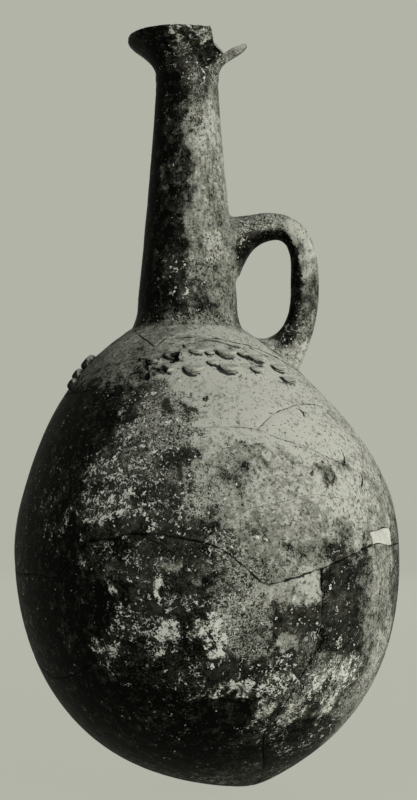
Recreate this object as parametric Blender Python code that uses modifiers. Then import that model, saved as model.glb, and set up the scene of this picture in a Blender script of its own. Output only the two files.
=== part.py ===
"""A mended long-necked ceramic jug, modelled as the separate pieces that it comes apart into.

The round body is a thin turned wall, leaned a little by hand and broken into sherds along its old
fracture lines. A tapering neck is seated in the body's opening, a flared mouth with a broken-out
chip is seated on the neck, and a round handle is luted to the neck and thrust through the shoulder,
where a clay wad holds it inside. Relief scales and knobs of clay are laid on the shoulder.

Units are metres. +Z is up, the origin lies under the belly's centre at the height of the base tip,
the front faces -Y and the handle stands towards +X.
"""
import math

import bmesh
import bpy
from mathutils import Vector
from mathutils.bvhtree import BVHTree

# Body
BELLY_RADIUS = 0.1338
BELLY_HEIGHT = 0.1645
BODY_HEIGHT = 0.3216
OPENING_RADIUS = 0.0345
SHOULDER_SLOPE = math.radians(23.0)
SHOULDER_REACH = 0.0350
BELLY_UPPER_REACH = 0.0750
BELLY_LOWER_REACH = 0.1515
BASE_REACH = 0.0065
BODY_WALL = 0.0065
BASE_THICKNESS = 0.0090
HOLLOW_LOWER_REACH = 0.1420
HOLLOW_BASE_REACH = 0.0150
OPENING_OVERRUN = 0.0060

# Hand-built lean of the body, as sideways shifts of its centre line
NECK_SHIFT = -0.0137
SHOULDER_LEAN_START = 0.2000
LOWER_SHIFT = 0.0040
TIP_SHIFT = 0.0230
TIP_FADE = 0.0090

# Neck
NECK_LENGTH = 0.1722
NECK_FOOT_RADIUS = 0.0388
NECK_FOOT_HEIGHT = 0.0180
NECK_ROOT_RADIUS = 0.0349
NECK_TOP_RADIUS = 0.0221
NECK_TOP_DRAW = 0.15
NECK_TOP_PULL = 0.25
NECK_ROOT_DRAW = 0.36
NECK_ROOT_PULL = 0.30
NECK_FOOT_DRAW = 0.10
NECK_FOOT_PULL = 0.20
NECK_FOOT_START = 0.55
NECK_WALL = 0.0065
SPIGOT_WALL = 0.0060
SPIGOT_DEPTH = 0.0095

# Mouth
MOUTH_HEIGHT = 0.0278
MOUTH_RADIUS = 0.0424
MOUTH_FUNNEL_SLOPE = math.radians(26.0)
MOUTH_FLARE_SLOPE = math.radians(58.0)
MOUTH_TILT = math.radians(2.2)
MOUTH_FLARE_PULL = 0.34
MOUTH_THROAT_PULL = 0.50
MOUTH_FUNNEL_PULL = 0.55
MOUTH_INNER_PULL = 0.52
LIP_RADIUS = 0.0018
SCARF_RISE = 0.0040

# Handle
HANDLE_RADIUS = 0.0091
HANDLE_ROOT_HEIGHT = 0.0662
HANDLE_ROOT_SLOPE = math.radians(9.5)
HANDLE_ROOT_PULL = 0.0290
HANDLE_CREST_PULL = 0.0540
HANDLE_SPAN = 0.0532
HANDLE_DROP = 0.0397
HANDLE_FALL_PULL = 0.0205
HANDLE_FOOT_PULL = 0.0187
HANDLE_FOOT_LATITUDE = 66.8
HANDLE_FOOT_SLOPE = math.radians(61.2)
HANDLE_ROOT_SWELL = 0.0124
HANDLE_ROOT_FADE = 0.0116
HANDLE_FOOT_SWELL = 0.0110
HANDLE_FOOT_FADE = 0.0142
HANDLE_SIDE_SWELL = 0.45
HANDLE_EMBED = 0.0120
TENON_RADIUS = 0.0080
TENON_REACH = 0.0070
WAD_RADIUS = 0.0165
WAD_HEIGHT = 0.0052

# Fits
GLUE_GAP = 0.0003
SEAT_GAP = 0.0003

# Depths that the cutting sheets and cones reach beyond the wall, as shares of its distance
SHEET_INSIDE = 0.80
SHEET_OUTSIDE = 1.30
CHIP_REACH = 1.80

# Facets
BODY_STEPS = 48
NECK_STEPS = 28
MOUTH_STEPS = 40
SHOULDER_PROFILE_STEPS = 10
BASE_PROFILE_STEPS = 11
HANDLE_POINTS = 24
HANDLE_SIDES = 16

# Fracture lines of the body, as azimuth and latitude in degrees seen from the belly's centre.
# Azimuth 0 faces the front and 90 the handle, and lines that meet share a point.
# The front follows the visible breaks. The back is closed by the few long breaks that these need.
FRACTURES = {
    "shoulder_ring": [
        (-62, 84), (-62, 70), (-31.5, 64.5), (-28, 68), (-18, 69), (-2, 70.5), (24, 70.5), (34, 70.5),
        (49, 68.5), (66, 65.5), (80, 61.5), (95, 59.5), (112, 62), (133, 68), (148, 84),
    ],
    "left_upright": [
        (-31.5, 64.5), (-32.5, 59), (-26.5, 51), (-20.5, 39.5), (-27, 31.5), (-31, 17), (-33.5, 6),
    ],
    "left_shoulder": [(-26.5, 51), (-47, 49.5), (-59, 48), (-76, 47.5), (-100, 45), (-131, 49), (-158, 51)],
    "front_shoulder": [
        (-20.5, 39.5), (-9, 37), (2, 38.5), (17.5, 38), (24, 35.5), (35, 32.5), (44.5, 28.5), (57, 24),
    ],
    "right_lens": [(17.5, 38), (25, 43), (38, 47), (46, 48), (57, 47.5), (66, 44), (73, 39)],
    "right_upright": [(73, 39), (69, 33), (57, 24), (54.5, 21), (48.5, 15.5)],
    "right_shoulder": [(73, 39), (95, 41), (124, 44), (153, 47)],
    "front_arch": [
        (-0.5, 6), (5, 11), (12, 15), (20.5, 16.5), (31, 18.5), (40.5, 17.5), (48.5, 15.5), (51.5, 11),
        (53, 7.5), (54, 4),
    ],
    "belly": [
        (-33.5, 6), (-26, 6.5), (-21, 8), (-12.5, 8), (-0.5, 6), (6, 3), (16, -5), (32, -1.5), (54, 4),
        (67, 3), (83, 3), (95, 4), (125, 1), (153, 3),
    ],
    "fill": [(53, 7.5), (66, 8), (67, 3)],
    "left_belly": [(-33.5, 6), (-46, -4.5), (-57, -4.5), (-72, -5.5), (-95, -2), (-125, -6), (-158, -2)],
    "dark_left": [(32, -1.5), (33, -11.5), (33, -18.5), (32, -24.5)],
    "dark_right": [(54, 4), (54, -8.5), (56.5, -21)],
    "lower_belly": [
        (-155, -28), (-110, -31), (-80, -30), (-61, -34.5), (-48, -32.5), (-32, -26), (-20, -22), (-9, -27),
        (1, -31.5), (9, -27), (18, -25), (32, -24.5), (43, -23.5), (52, -23), (56.5, -21), (73, -28),
        (98, -27), (125, -30), (153, -27),
    ],
    "base_wedge": [(1, -31.5), (13, -33), (26, -37)],
    "base_front": [(32, -24.5), (29.5, -29), (26, -37), (23, -43), (21, -47), (24, -54), (42, -70), (70, -79)],
    "base_left": [(-155, -28), (-150.5, -50), (-148, -70), (70, -79)],
    "base_right": [(153, -27), (166, -50), (151, -72), (70, -79)],
    "back_left": [(-160, 84), (-161, 70), (-158, 51), (-151, 25), (-158, -2), (-155, -28)],
    "back_right": [(133, 68), (153, 47), (151, 25), (153, 3), (153, -27)],
    "back_shoulder": [(153, 47), (178, 44), (202, 51)],
    "back_belly": [(153, 3), (176, 6), (202, -2)],
    "back_base": [(153, -27), (176, -31), (205, -28)],
}

# Each sherd with a point inside it and its tone
SHERDS = {
    "shoulder_sherd_handle": ((20, 74), "mid"),
    "shoulder_sherd_left": ((-90, 58), "mid"),
    "shoulder_sherd_front": ((15, 55), "pale"),
    "shoulder_sherd_right": ((50, 39), "pale"),
    "shoulder_sherd_back": ((178, 58), "mid"),
    "belly_sherd_front": ((0, 24), "mid"),
    "belly_sherd_arch": ((25, 8), "pale"),
    "belly_sherd_right": ((100, 20), "pale"),
    "belly_sherd_left": ((-90, 22), "dark"),
    "belly_sherd_back": ((178, 25), "mid"),
    "lower_sherd_front": ((0, -12), "dark"),
    "lower_sherd_burnished": ((44, -10), "dark"),
    "lower_sherd_right": ((100, -12), "pale"),
    "lower_sherd_back": ((178, -15), "dark"),
    "base_sherd_wedge": ((20, -29), "mid"),
    "base_sherd_left": ((-40, -50), "dark"),
    "base_sherd_right": ((80, -50), "mid"),
    "base_sherd_back": ((178, -55), "dark"),
    "belly_plaster_fill": ((60, 5.5), "plaster"),
}

# Relief scales and knobs: azimuth and latitude in degrees, then the radius in millimetres
RELIEF = {
    "relief_scale_upper_1": (-26.4, 59.5, 5.0),
    "relief_scale_upper_2": (-18.4, 62.2, 5.6),
    "relief_scale_upper_3": (-5.6, 64.4, 5.0),
    "relief_scale_upper_4": (1.9, 64.1, 3.1),
    "relief_scale_upper_5": (12.0, 65.5, 7.0),
    "relief_scale_upper_6": (22.3, 65.5, 3.4),
    "relief_scale_upper_7": (31.2, 65.0, 6.0),
    "relief_scale_lower_1": (-18.5, 56.6, 4.8),
    "relief_scale_lower_2": (-6.1, 58.0, 6.8),
    "relief_scale_lower_3": (2.8, 60.5, 3.4),
    "relief_scale_lower_4": (11.5, 59.6, 7.0),
    "relief_scale_lower_5": (26.9, 60.0, 5.0),
    "relief_scale_lower_6": (44.4, 62.2, 6.0),
    "relief_scale_lower_7": (45.4, 57.4, 6.5),
    "relief_knob_left_1": (-79.5, 57.6, 6.4),
    "relief_knob_left_2": (-77.5, 53.4, 4.8),
    "relief_knob_left_3": (-72.0, 50.3, 4.6),
}
SCALE_THICKNESS = 0.0028
SCALE_TILT = math.radians(22.0)
SCALE_LIP = 0.25
SCALE_DISH = 0.0008
SCALE_BLUNTNESS = 0.70
KNOB_THICKNESS = 0.0048

# Outline of the chip broken from the mouth, as azimuth in degrees and height above the neck in mm
CHIP = [
    (19, 36.0), (22.5, 26.7), (26, 22.6), (29.5, 19.6), (35, 17.3), (47.5, 15.1), (66, 13.6), (82, 11.5),
    (92, 10.5), (95, 14.0), (92, 19.0), (94, 25.0), (93, 36.0),
]
CHIP_FOCUS_RISE = 0.0300

# Relief from this azimuth on lies on the pale side of the shoulder
PALE_RELIEF_FROM = -15.0

TONES = {
    "dark": ((0.028, 0.026, 0.021), 0.42),
    "mid": ((0.150, 0.148, 0.122), 0.55),
    "pale": ((0.420, 0.425, 0.360), 0.62),
    "plaster": ((0.520, 0.520, 0.450), 0.85),
}


def reset_scene():
    """Empty the scene and make the collections for the jug and for its cutters."""
    for obj in list(bpy.data.objects):
        bpy.data.objects.remove(obj)
    jug = bpy.data.collections.new("ceramic_jug")
    cutters = bpy.data.collections.new("cutters")
    bpy.context.scene.collection.children.link(jug)
    bpy.context.scene.collection.children.link(cutters)
    return jug, cutters


def clay(name, tone):
    """A fired clay or plaster material in one of the jug's tones."""
    color, roughness = TONES[tone]
    material = bpy.data.materials.new(name + "_surface")
    material.use_nodes = True
    shader = material.node_tree.nodes["Principled BSDF"]
    shader.inputs["Base Color"].default_value = (*color, 1.0)
    shader.inputs["Roughness"].default_value = roughness
    shader.inputs["Metallic"].default_value = 0.0
    return material


def add_object(name, mesh, collection):
    """Link a mesh as a named object, hidden in renders when it is a cutter."""
    obj = bpy.data.objects.new(name, mesh)
    collection.objects.link(obj)
    if collection.name == "cutters":
        obj.hide_render = True
        obj.display_type = "WIRE"
    return obj


def finish(obj, tone):
    """Give a piece its material and its smooth shading."""
    obj.data.materials.clear()
    obj.data.materials.append(clay(obj.name, tone))
    obj.data.shade_smooth()
    obj.data.set_sharp_from_angle(angle=math.radians(40.0))


def evaluated_mesh(obj):
    """A plain mesh of the object as its modifiers leave it."""
    graph = bpy.context.evaluated_depsgraph_get()
    return bpy.data.meshes.new_from_object(obj.evaluated_get(graph))


def apply_modifiers(obj):
    """Turn the modifiers into the object's own mesh."""
    mesh = evaluated_mesh(obj)
    obj.modifiers.clear()
    obj.data = mesh


def cut(obj, cutter, operation="DIFFERENCE"):
    """Add a Boolean modifier with the exact solver."""
    boolean = obj.modifiers.new(operation.lower(), "BOOLEAN")
    boolean.operation = operation
    boolean.solver = "EXACT"
    boolean.object = cutter


def bezier(start, start_pull, end_pull, end, steps):
    """Points of a cubic curve in the profile plane, both ends included."""
    points = []
    for index in range(steps + 1):
        t = index / steps
        s = 1.0 - t
        weights = (s ** 3, 3.0 * s * s * t, 3.0 * s * t * t, t ** 3)
        corners = (start, start_pull, end_pull, end)
        points.append(tuple(sum(w * c[axis] for w, c in zip(weights, corners)) for axis in (0, 1)))
    return points


def turned(name, profile, collection, steps, closed=False):
    """A profile of radius and height, turned about the Z axis by a Screw modifier."""
    mesh = bpy.data.meshes.new(name)
    count = len(profile)
    edges = [(index, index + 1) for index in range(count - 1)]
    if closed:
        edges.append((count - 1, 0))
    mesh.from_pydata([(radius, 0.0, height) for radius, height in profile], edges, [])
    obj = add_object(name, mesh, collection)
    screw = obj.modifiers.new("turn", "SCREW")
    screw.axis = "Z"
    screw.angle = math.tau
    screw.steps = steps
    screw.render_steps = steps
    screw.use_merge_vertices = True
    screw.merge_threshold = 0.00001
    return obj


def lean(height):
    """Sideways shift of the body's centre line at a height."""
    rise = (height - SHOULDER_LEAN_START) / (BODY_HEIGHT - SHOULDER_LEAN_START)
    rise = min(max(rise, 0.0), 1.0)
    upper = NECK_SHIFT * rise * rise * (3.0 - 2.0 * rise)
    lower = LOWER_SHIFT * max(1.0 - height / BELLY_HEIGHT, 0.0)
    return upper + lower + TIP_SHIFT * math.exp(-height / TIP_FADE)


def body_outer():
    """Outer profile of the body from just inside the opening down to the base tip."""
    slope = Vector((math.cos(SHOULDER_SLOPE), -math.sin(SHOULDER_SLOPE)))
    start = Vector((OPENING_RADIUS, BODY_HEIGHT)) - slope * OPENING_OVERRUN
    upper = bezier(
        start, start + slope * (OPENING_OVERRUN + SHOULDER_REACH),
        (BELLY_RADIUS, BELLY_HEIGHT + BELLY_UPPER_REACH), (BELLY_RADIUS, BELLY_HEIGHT),
        SHOULDER_PROFILE_STEPS,
    )
    lower = bezier(
        (BELLY_RADIUS, BELLY_HEIGHT), (BELLY_RADIUS, BELLY_HEIGHT - BELLY_LOWER_REACH),
        (BASE_REACH, 0.0), (0.0, 0.0), BASE_PROFILE_STEPS,
    )
    return upper + lower[1:]


def body_inner():
    """Inner profile: one wall inside the shoulder, and thicker towards the base."""
    upper = offset(body_outer(), -BODY_WALL)[:SHOULDER_PROFILE_STEPS]
    hollow_radius = BELLY_RADIUS - BODY_WALL
    lower = bezier(
        (hollow_radius, BELLY_HEIGHT), (hollow_radius, BELLY_HEIGHT - HOLLOW_LOWER_REACH),
        (HOLLOW_BASE_REACH, BASE_THICKNESS), (0.0, BASE_THICKNESS), BASE_PROFILE_STEPS,
    )
    return upper + lower


def offset(profile, distance):
    """A top-to-bottom profile moved outwards by a distance, with points on the axis kept there."""
    moved = []
    last = len(profile) - 1
    for index, (radius, height) in enumerate(profile):
        before = profile[max(index - 1, 0)]
        after = profile[min(index + 1, last)]
        tangent = Vector((after[0] - before[0], after[1] - before[1])).normalized()
        if radius == 0.0:
            moved.append((0.0, height - distance))
        else:
            moved.append((radius - tangent.y * distance, height + tangent.x * distance))
    return moved


def leaned(obj):
    """Turn the Screw into a mesh and shift it sideways as the hand-built wall leans."""
    apply_modifiers(obj)
    for vertex in obj.data.vertices:
        vertex.co.x += lean(vertex.co.z)
    return obj


def body_shell(name, collection, clearance=0.0):
    """The whole wall as a closed shell, swollen by a clearance, and closer at the top than its opening."""
    outer = offset(body_outer(), clearance)
    inner = offset(body_inner(), -clearance)
    shell = leaned(turned(name, inner[::-1] + outer, collection, BODY_STEPS))
    return shell


def opening_cutter(name, radius, collection):
    """An upright bar through the body's opening."""
    profile = [(0.0, 2.0 * SPIGOT_DEPTH), (radius, 2.0 * SPIGOT_DEPTH), (radius, -2.0 * SPIGOT_DEPTH)]
    profile.append((0.0, -2.0 * SPIGOT_DEPTH))
    obj = turned(name, profile, collection, BODY_STEPS)
    obj.location = (neck_axis(), 0.0, BODY_HEIGHT)
    obj.rotation_euler.z = math.pi / BODY_STEPS
    return obj


def make_seat(cutters):
    """The wall with its clearance on every side, which shapes whatever rests on it or passes through it."""
    seat = body_shell("wall_seat", cutters, SEAT_GAP)
    cut(seat, opening_cutter("seat_opening", OPENING_RADIUS - 0.5 * SEAT_GAP, cutters))
    return seat


def direction(azimuth, latitude):
    """Unit vector from the belly's centre, angles in degrees."""
    az = math.radians(azimuth)
    lat = math.radians(latitude)
    return Vector((math.cos(lat) * math.sin(az), -math.cos(lat) * math.cos(az), math.sin(lat)))


def belly_centre():
    """The point that fracture lines and relief are aimed from."""
    return Vector((0.0, 0.0, BELLY_HEIGHT))


def fracture_cutter(name, line, collection):
    """A thin sheet through the wall along one fracture line, as wide as the glue in it."""
    inner = SHEET_INSIDE * min(BELLY_RADIUS, BELLY_HEIGHT, BODY_HEIGHT - BELLY_HEIGHT)
    outer = SHEET_OUTSIDE * max(BELLY_RADIUS, BELLY_HEIGHT, BODY_HEIGHT - BELLY_HEIGHT)
    sheet = bmesh.new()
    rows = []
    for azimuth, latitude in line:
        ray = direction(azimuth, latitude)
        rows.append([sheet.verts.new(belly_centre() + ray * reach) for reach in (inner, outer)])
    for before, after in zip(rows, rows[1:]):
        sheet.faces.new((before[0], before[1], after[1], after[0]))
    mesh = bpy.data.meshes.new(name)
    sheet.to_mesh(mesh)
    sheet.free()
    obj = add_object(name, mesh, collection)
    sheet_wall = obj.modifiers.new("glue_line", "SOLIDIFY")
    sheet_wall.thickness = GLUE_GAP
    sheet_wall.offset = 0.0
    sheet_wall.use_even_offset = True
    return obj


def split_islands(mesh):
    """Lists of face indices, one list for each separate body of a mesh."""
    work = bmesh.new()
    work.from_mesh(mesh)
    seen = set()
    islands = []
    for face in work.faces:
        if face.index in seen:
            continue
        stack = [face]
        seen.add(face.index)
        island = []
        while stack:
            current = stack.pop()
            island.append(current.index)
            for edge in current.edges:
                for other in edge.link_faces:
                    if other.index not in seen:
                        seen.add(other.index)
                        stack.append(other)
        islands.append(island)
    work.free()
    return islands


def mesh_of_faces(name, mesh, faces):
    """A new mesh that keeps only the listed faces."""
    work = bmesh.new()
    work.from_mesh(mesh)
    keep = set(faces)
    work.faces.ensure_lookup_table()
    gone = [face for face in work.faces if face.index not in keep]
    bmesh.ops.delete(work, geom=gone, context="FACES")
    piece = bpy.data.meshes.new(name)
    work.to_mesh(piece)
    work.free()
    return piece


def make_sherds(jug, cutters):
    """The body wall, cut along its fracture lines and parted into named sherds."""
    wall = body_shell("body_wall", cutters)
    cut(wall, opening_cutter("opening", OPENING_RADIUS, cutters))
    cut(wall, tenon_cutter("tenon_hole", TENON_RADIUS + SEAT_GAP, cutters))
    for name, line in FRACTURES.items():
        cut(wall, fracture_cutter("fracture_" + name, line, cutters))
    whole = evaluated_mesh(wall)
    bpy.data.objects.remove(wall)
    islands = [mesh_of_faces("island", whole, faces) for faces in split_islands(whole)]
    trees = []
    for island in islands:
        vertices = [vertex.co for vertex in island.vertices]
        trees.append(BVHTree.FromPolygons(vertices, [polygon.vertices for polygon in island.polygons]))
    for name, (marker, tone) in SHERDS.items():
        aim = direction(*marker)
        reach = [tree.ray_cast(belly_centre(), aim)[3] for tree in trees]
        found = [index for index, distance in enumerate(reach) if distance is not None]
        piece = add_object(name, islands[found[0]], jug)
        finish(piece, tone)


def surface_point(surface, azimuth, latitude):
    """Place and outward normal of the body's surface in one direction from the belly's centre."""
    vertices = [vertex.co for vertex in surface.data.vertices]
    tree = BVHTree.FromPolygons(vertices, [polygon.vertices for polygon in surface.data.polygons])
    place, normal, _, _ = tree.ray_cast(belly_centre(), direction(azimuth, latitude))
    if normal.dot(place - belly_centre()) < 0.0:
        normal = -normal
    return place, normal


def tenon_direction():
    """The way in which the handle's tenon enters the shoulder."""
    return Vector((-math.cos(HANDLE_FOOT_SLOPE), 0.0, -math.sin(HANDLE_FOOT_SLOPE)))


def tenon_through():
    """Length of the tenon inside the wall, and where it leaves the shoulder's inner side."""
    inward = tenon_direction()
    through = BODY_WALL / inward.dot(-FOOT_NORMAL)
    return through, FOOT_PLACE + inward * through


def tenon_cutter(name, radius, collection, tip_reach=None):
    """A round bar along the tenon, from inside the handle to past the inner wall."""
    through, inner_place = tenon_through()
    inward = tenon_direction()
    start = FOOT_PLACE - inward * HANDLE_EMBED
    end = inner_place + inward * (3.0 * TENON_REACH if tip_reach is None else tip_reach)
    work = bmesh.new()
    bmesh.ops.create_cone(
        work, cap_ends=True, segments=20, radius1=radius, radius2=radius, depth=(end - start).length,
    )
    turn = Vector((0.0, 0.0, 1.0)).rotation_difference(inward).to_matrix().to_4x4()
    bmesh.ops.transform(work, matrix=turn, verts=work.verts)
    bmesh.ops.translate(work, vec=(start + end) / 2.0, verts=work.verts)
    mesh = bpy.data.meshes.new(name)
    work.to_mesh(mesh)
    work.free()
    return add_object(name, mesh, collection)


def neck_outer(steps):
    """Outer profile of the neck, top to bottom, as radius and height above the body's opening."""
    top = (NECK_TOP_RADIUS, NECK_LENGTH)
    root = (NECK_ROOT_RADIUS, NECK_FOOT_HEIGHT)
    span = NECK_LENGTH - NECK_FOOT_HEIGHT
    slim = NECK_ROOT_RADIUS - NECK_TOP_RADIUS
    shaft = bezier(
        top, (NECK_TOP_RADIUS + NECK_TOP_DRAW * slim, NECK_LENGTH - NECK_TOP_PULL * span),
        (NECK_ROOT_RADIUS - NECK_ROOT_DRAW * slim, NECK_FOOT_HEIGHT + NECK_ROOT_PULL * span), root, steps,
    )
    foot_height = -(NECK_FOOT_RADIUS - OPENING_RADIUS) * math.tan(SHOULDER_SLOPE)
    spread = NECK_FOOT_RADIUS - NECK_ROOT_RADIUS
    foot = bezier(
        root, (NECK_ROOT_RADIUS, NECK_FOOT_START * NECK_FOOT_HEIGHT),
        (NECK_ROOT_RADIUS + NECK_FOOT_DRAW * spread, NECK_FOOT_PULL * NECK_FOOT_HEIGHT),
        (NECK_FOOT_RADIUS, foot_height), 4,
    )
    return shaft + foot[1:]


def neck_axis():
    """Sideways place of the axis that the neck and the mouth share."""
    return lean(BODY_HEIGHT)


def make_neck(jug, seat):
    """The tapering neck, with a foot that rests on the shoulder and a spigot inside its opening."""
    outer = neck_outer(7)
    shaft = [point for point in outer if point[1] >= NECK_FOOT_HEIGHT]
    spigot_radius = OPENING_RADIUS - SEAT_GAP
    flange = outer[-1][1] - 0.5 * BODY_WALL
    profile = list(outer)
    profile.append((NECK_FOOT_RADIUS, flange))
    profile.append((spigot_radius, flange))
    profile.append((spigot_radius, -SPIGOT_DEPTH))
    profile.append((spigot_radius - SPIGOT_WALL, -SPIGOT_DEPTH))
    profile.append((spigot_radius - SPIGOT_WALL, 0.25 * NECK_FOOT_HEIGHT))
    for radius, height in reversed(shaft[1:]):
        profile.append((radius - NECK_WALL, height))
    profile.append((NECK_TOP_RADIUS - NECK_WALL, NECK_LENGTH + SCARF_RISE))
    neck = turned("neck", profile, jug, NECK_STEPS, closed=True)
    neck.location = (neck_axis(), 0.0, BODY_HEIGHT)
    cut(neck, seat)
    finish(neck, "dark")
    return neck


def make_mouth(jug, cutters):
    """The flared mouth, scarfed on to the neck's top, with one chip broken from its rim."""
    foot_outer = (NECK_TOP_RADIUS, SEAT_GAP)
    foot_inner = (NECK_TOP_RADIUS - NECK_WALL, SCARF_RISE + SEAT_GAP)
    lip = Vector((MOUTH_RADIUS - LIP_RADIUS, MOUTH_HEIGHT - LIP_RADIUS))
    flare = Vector((math.cos(MOUTH_FLARE_SLOPE), math.sin(MOUTH_FLARE_SLOPE)))
    funnel = Vector((math.cos(MOUTH_FUNNEL_SLOPE), math.sin(MOUTH_FUNNEL_SLOPE)))
    spread = MOUTH_RADIUS - NECK_TOP_RADIUS
    lip_start = MOUTH_FUNNEL_SLOPE + math.pi / 2.0
    lip_end = MOUTH_FLARE_SLOPE - math.pi / 2.0
    profile = []
    for index in range(5):
        angle = lip_start + (lip_end - lip_start) * index / 4
        profile.append(tuple(lip + LIP_RADIUS * Vector((math.cos(angle), math.sin(angle)))))
    outer_end = Vector(profile[-1])
    inner_end = Vector(profile[0])
    profile += bezier(
        outer_end, outer_end - flare * MOUTH_FLARE_PULL * spread,
        (NECK_TOP_RADIUS, MOUTH_THROAT_PULL * MOUTH_HEIGHT), foot_outer, 8,
    )[1:]
    profile += bezier(
        foot_inner, (foot_inner[0], MOUTH_INNER_PULL * MOUTH_HEIGHT),
        inner_end - funnel * MOUTH_FUNNEL_PULL * spread, inner_end, 7,
    )[:-1]
    mouth = turned("mouth", profile, jug, MOUTH_STEPS, closed=True)
    apply_modifiers(mouth)
    for vertex in mouth.data.vertices:
        share = max(vertex.co.z / MOUTH_HEIGHT, 0.0) ** 2
        vertex.co.z -= math.tan(MOUTH_TILT) * vertex.co.x * share
    mouth.location = (neck_axis(), 0.0, BODY_HEIGHT + NECK_LENGTH)
    cut(mouth, chip_cutter("mouth_chip", cutters))
    finish(mouth, "dark")
    return mouth


def chip_cutter(name, collection):
    """A cone from a focus above the mouth through the chip's outline, so the break is square to the wall."""
    base = Vector((neck_axis(), 0.0, BODY_HEIGHT + NECK_LENGTH))
    focus = base + Vector((0.0, 0.0, MOUTH_HEIGHT + CHIP_FOCUS_RISE))
    outline = []
    for azimuth, rise in CHIP:
        height = rise / 1000.0
        radius = mouth_radius_at(height)
        outline.append(base + Vector((
            radius * math.sin(math.radians(azimuth)), -radius * math.cos(math.radians(azimuth)), height,
        )))
    far = [focus + (point - focus) * CHIP_REACH for point in outline]
    work = bmesh.new()
    apex = work.verts.new(focus)
    ring = [work.verts.new(point) for point in far]
    middle = work.verts.new(sum(far, Vector()) / len(far))
    for index, vertex in enumerate(ring):
        follower = ring[(index + 1) % len(ring)]
        work.faces.new((apex, follower, vertex))
        work.faces.new((middle, vertex, follower))
    bmesh.ops.recalc_face_normals(work, faces=work.faces)
    mesh = bpy.data.meshes.new(name)
    work.to_mesh(mesh)
    work.free()
    return add_object(name, mesh, collection)


def mouth_radius_at(height):
    """Outer radius of the flared mouth at a height above the neck, carried on past the lip."""
    share = min(height / MOUTH_HEIGHT, 1.0)
    flared = NECK_TOP_RADIUS + (MOUTH_RADIUS - NECK_TOP_RADIUS) * share * share * (3.0 - 2.0 * share) ** 0.5
    return flared + max(height - MOUTH_HEIGHT, 0.0)


def handle_route():
    """Centre line of the handle from inside the neck to inside the shoulder, in the XZ plane."""
    root_radius = radius_on(neck_outer(40), HANDLE_ROOT_HEIGHT)
    root = Vector((neck_axis() + root_radius, BODY_HEIGHT + HANDLE_ROOT_HEIGHT))
    crest = root + Vector((HANDLE_SPAN, -HANDLE_DROP))
    inward = Vector((-math.cos(HANDLE_FOOT_SLOPE), -math.sin(HANDLE_FOOT_SLOPE)))
    foot = Vector((FOOT_PLACE.x, FOOT_PLACE.z))
    rise = Vector((math.cos(HANDLE_ROOT_SLOPE), math.sin(HANDLE_ROOT_SLOPE)))
    upper = bezier(
        root, root + rise * HANDLE_ROOT_PULL, crest + Vector((0.0, HANDLE_CREST_PULL)), crest,
        HANDLE_POINTS // 2,
    )
    lower = bezier(
        crest, crest - Vector((0.0, HANDLE_FALL_PULL)), foot - inward * HANDLE_FOOT_PULL, foot,
        HANDLE_POINTS // 2,
    )
    start = root - rise * HANDLE_EMBED
    end = foot + inward * HANDLE_EMBED
    return [start] + [Vector(point) for point in upper + lower[1:]] + [end]


def radius_on(profile, height):
    """Radius of a top-to-bottom profile at a height."""
    for (radius_a, height_a), (radius_b, height_b) in zip(profile, profile[1:]):
        if height_b <= height <= height_a:
            share = (height_a - height) / (height_a - height_b)
            return radius_a + (radius_b - radius_a) * share
    return profile[-1][0]


def handle_swells(route):
    """How far the handle swells at each point of its route, dying away from the neck and the shoulder."""
    lengths = [0.0]
    for before, after in zip(route[1:-1], route[2:-1]):
        lengths.append(lengths[-1] + (after - before).length)
    swells = []
    for length in lengths:
        at_root = HANDLE_ROOT_SWELL * math.exp(-length / HANDLE_ROOT_FADE)
        at_foot = HANDLE_FOOT_SWELL * math.exp((length - lengths[-1]) / HANDLE_FOOT_FADE)
        swells.append(at_root + at_foot)
    return [swells[0]] + swells + [swells[-1]]


def handle_tube(name, collection):
    """The round handle as a loft of rings, each swollen on its inner side where clay is pressed on."""
    route = handle_route()
    work = bmesh.new()
    rings = []
    for index, (point, swell) in enumerate(zip(route, handle_swells(route))):
        before = route[max(index - 1, 0)]
        after = route[min(index + 1, len(route) - 1)]
        tangent = (after - before).normalized()
        inner_side = Vector((tangent.y, 0.0, -tangent.x))
        middle = Vector((point.x, 0.0, point.y)) + inner_side * swell
        breadth = Vector((0.0, HANDLE_RADIUS + HANDLE_SIDE_SWELL * swell, 0.0))
        depth = inner_side * (HANDLE_RADIUS + swell)
        ring = []
        for side in range(HANDLE_SIDES):
            angle = math.tau * side / HANDLE_SIDES
            ring.append(work.verts.new(middle + depth * math.cos(angle) + breadth * math.sin(angle)))
        rings.append(ring)
    for ring, follower in zip(rings, rings[1:]):
        for side in range(HANDLE_SIDES):
            beside = (side + 1) % HANDLE_SIDES
            work.faces.new((ring[side], ring[beside], follower[beside], follower[side]))
    work.faces.new(rings[0])
    work.faces.new(rings[-1])
    bmesh.ops.recalc_face_normals(work, faces=work.faces)
    mesh = bpy.data.meshes.new(name)
    work.to_mesh(mesh)
    work.free()
    return add_object(name, mesh, collection)


def make_handle(jug, cutters):
    """The handle: luted to the neck above, and thrust through the shoulder below by its tenon."""
    shoulder_profile = offset(body_outer(), SEAT_GAP)
    shoulder_profile.insert(0, (0.0, shoulder_profile[0][1]))
    shoulder = leaned(turned("shoulder_seat", shoulder_profile, cutters, BODY_STEPS))
    handle = handle_tube("handle", jug)
    neck_profile = [(radius + SEAT_GAP, height) for radius, height in neck_outer(7)]
    neck_profile.insert(0, (0.0, neck_profile[0][1]))
    neck_profile.append((0.0, neck_profile[-1][1]))
    neck_solid = turned("neck_seat", neck_profile, cutters, NECK_STEPS)
    neck_solid.location = (neck_axis(), 0.0, BODY_HEIGHT)
    cut(handle, neck_solid)
    cut(handle, shoulder)
    cut(handle, tenon_cutter("tenon", TENON_RADIUS, cutters, tip_reach=TENON_REACH), "UNION")
    finish(handle, "mid")
    return handle


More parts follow.
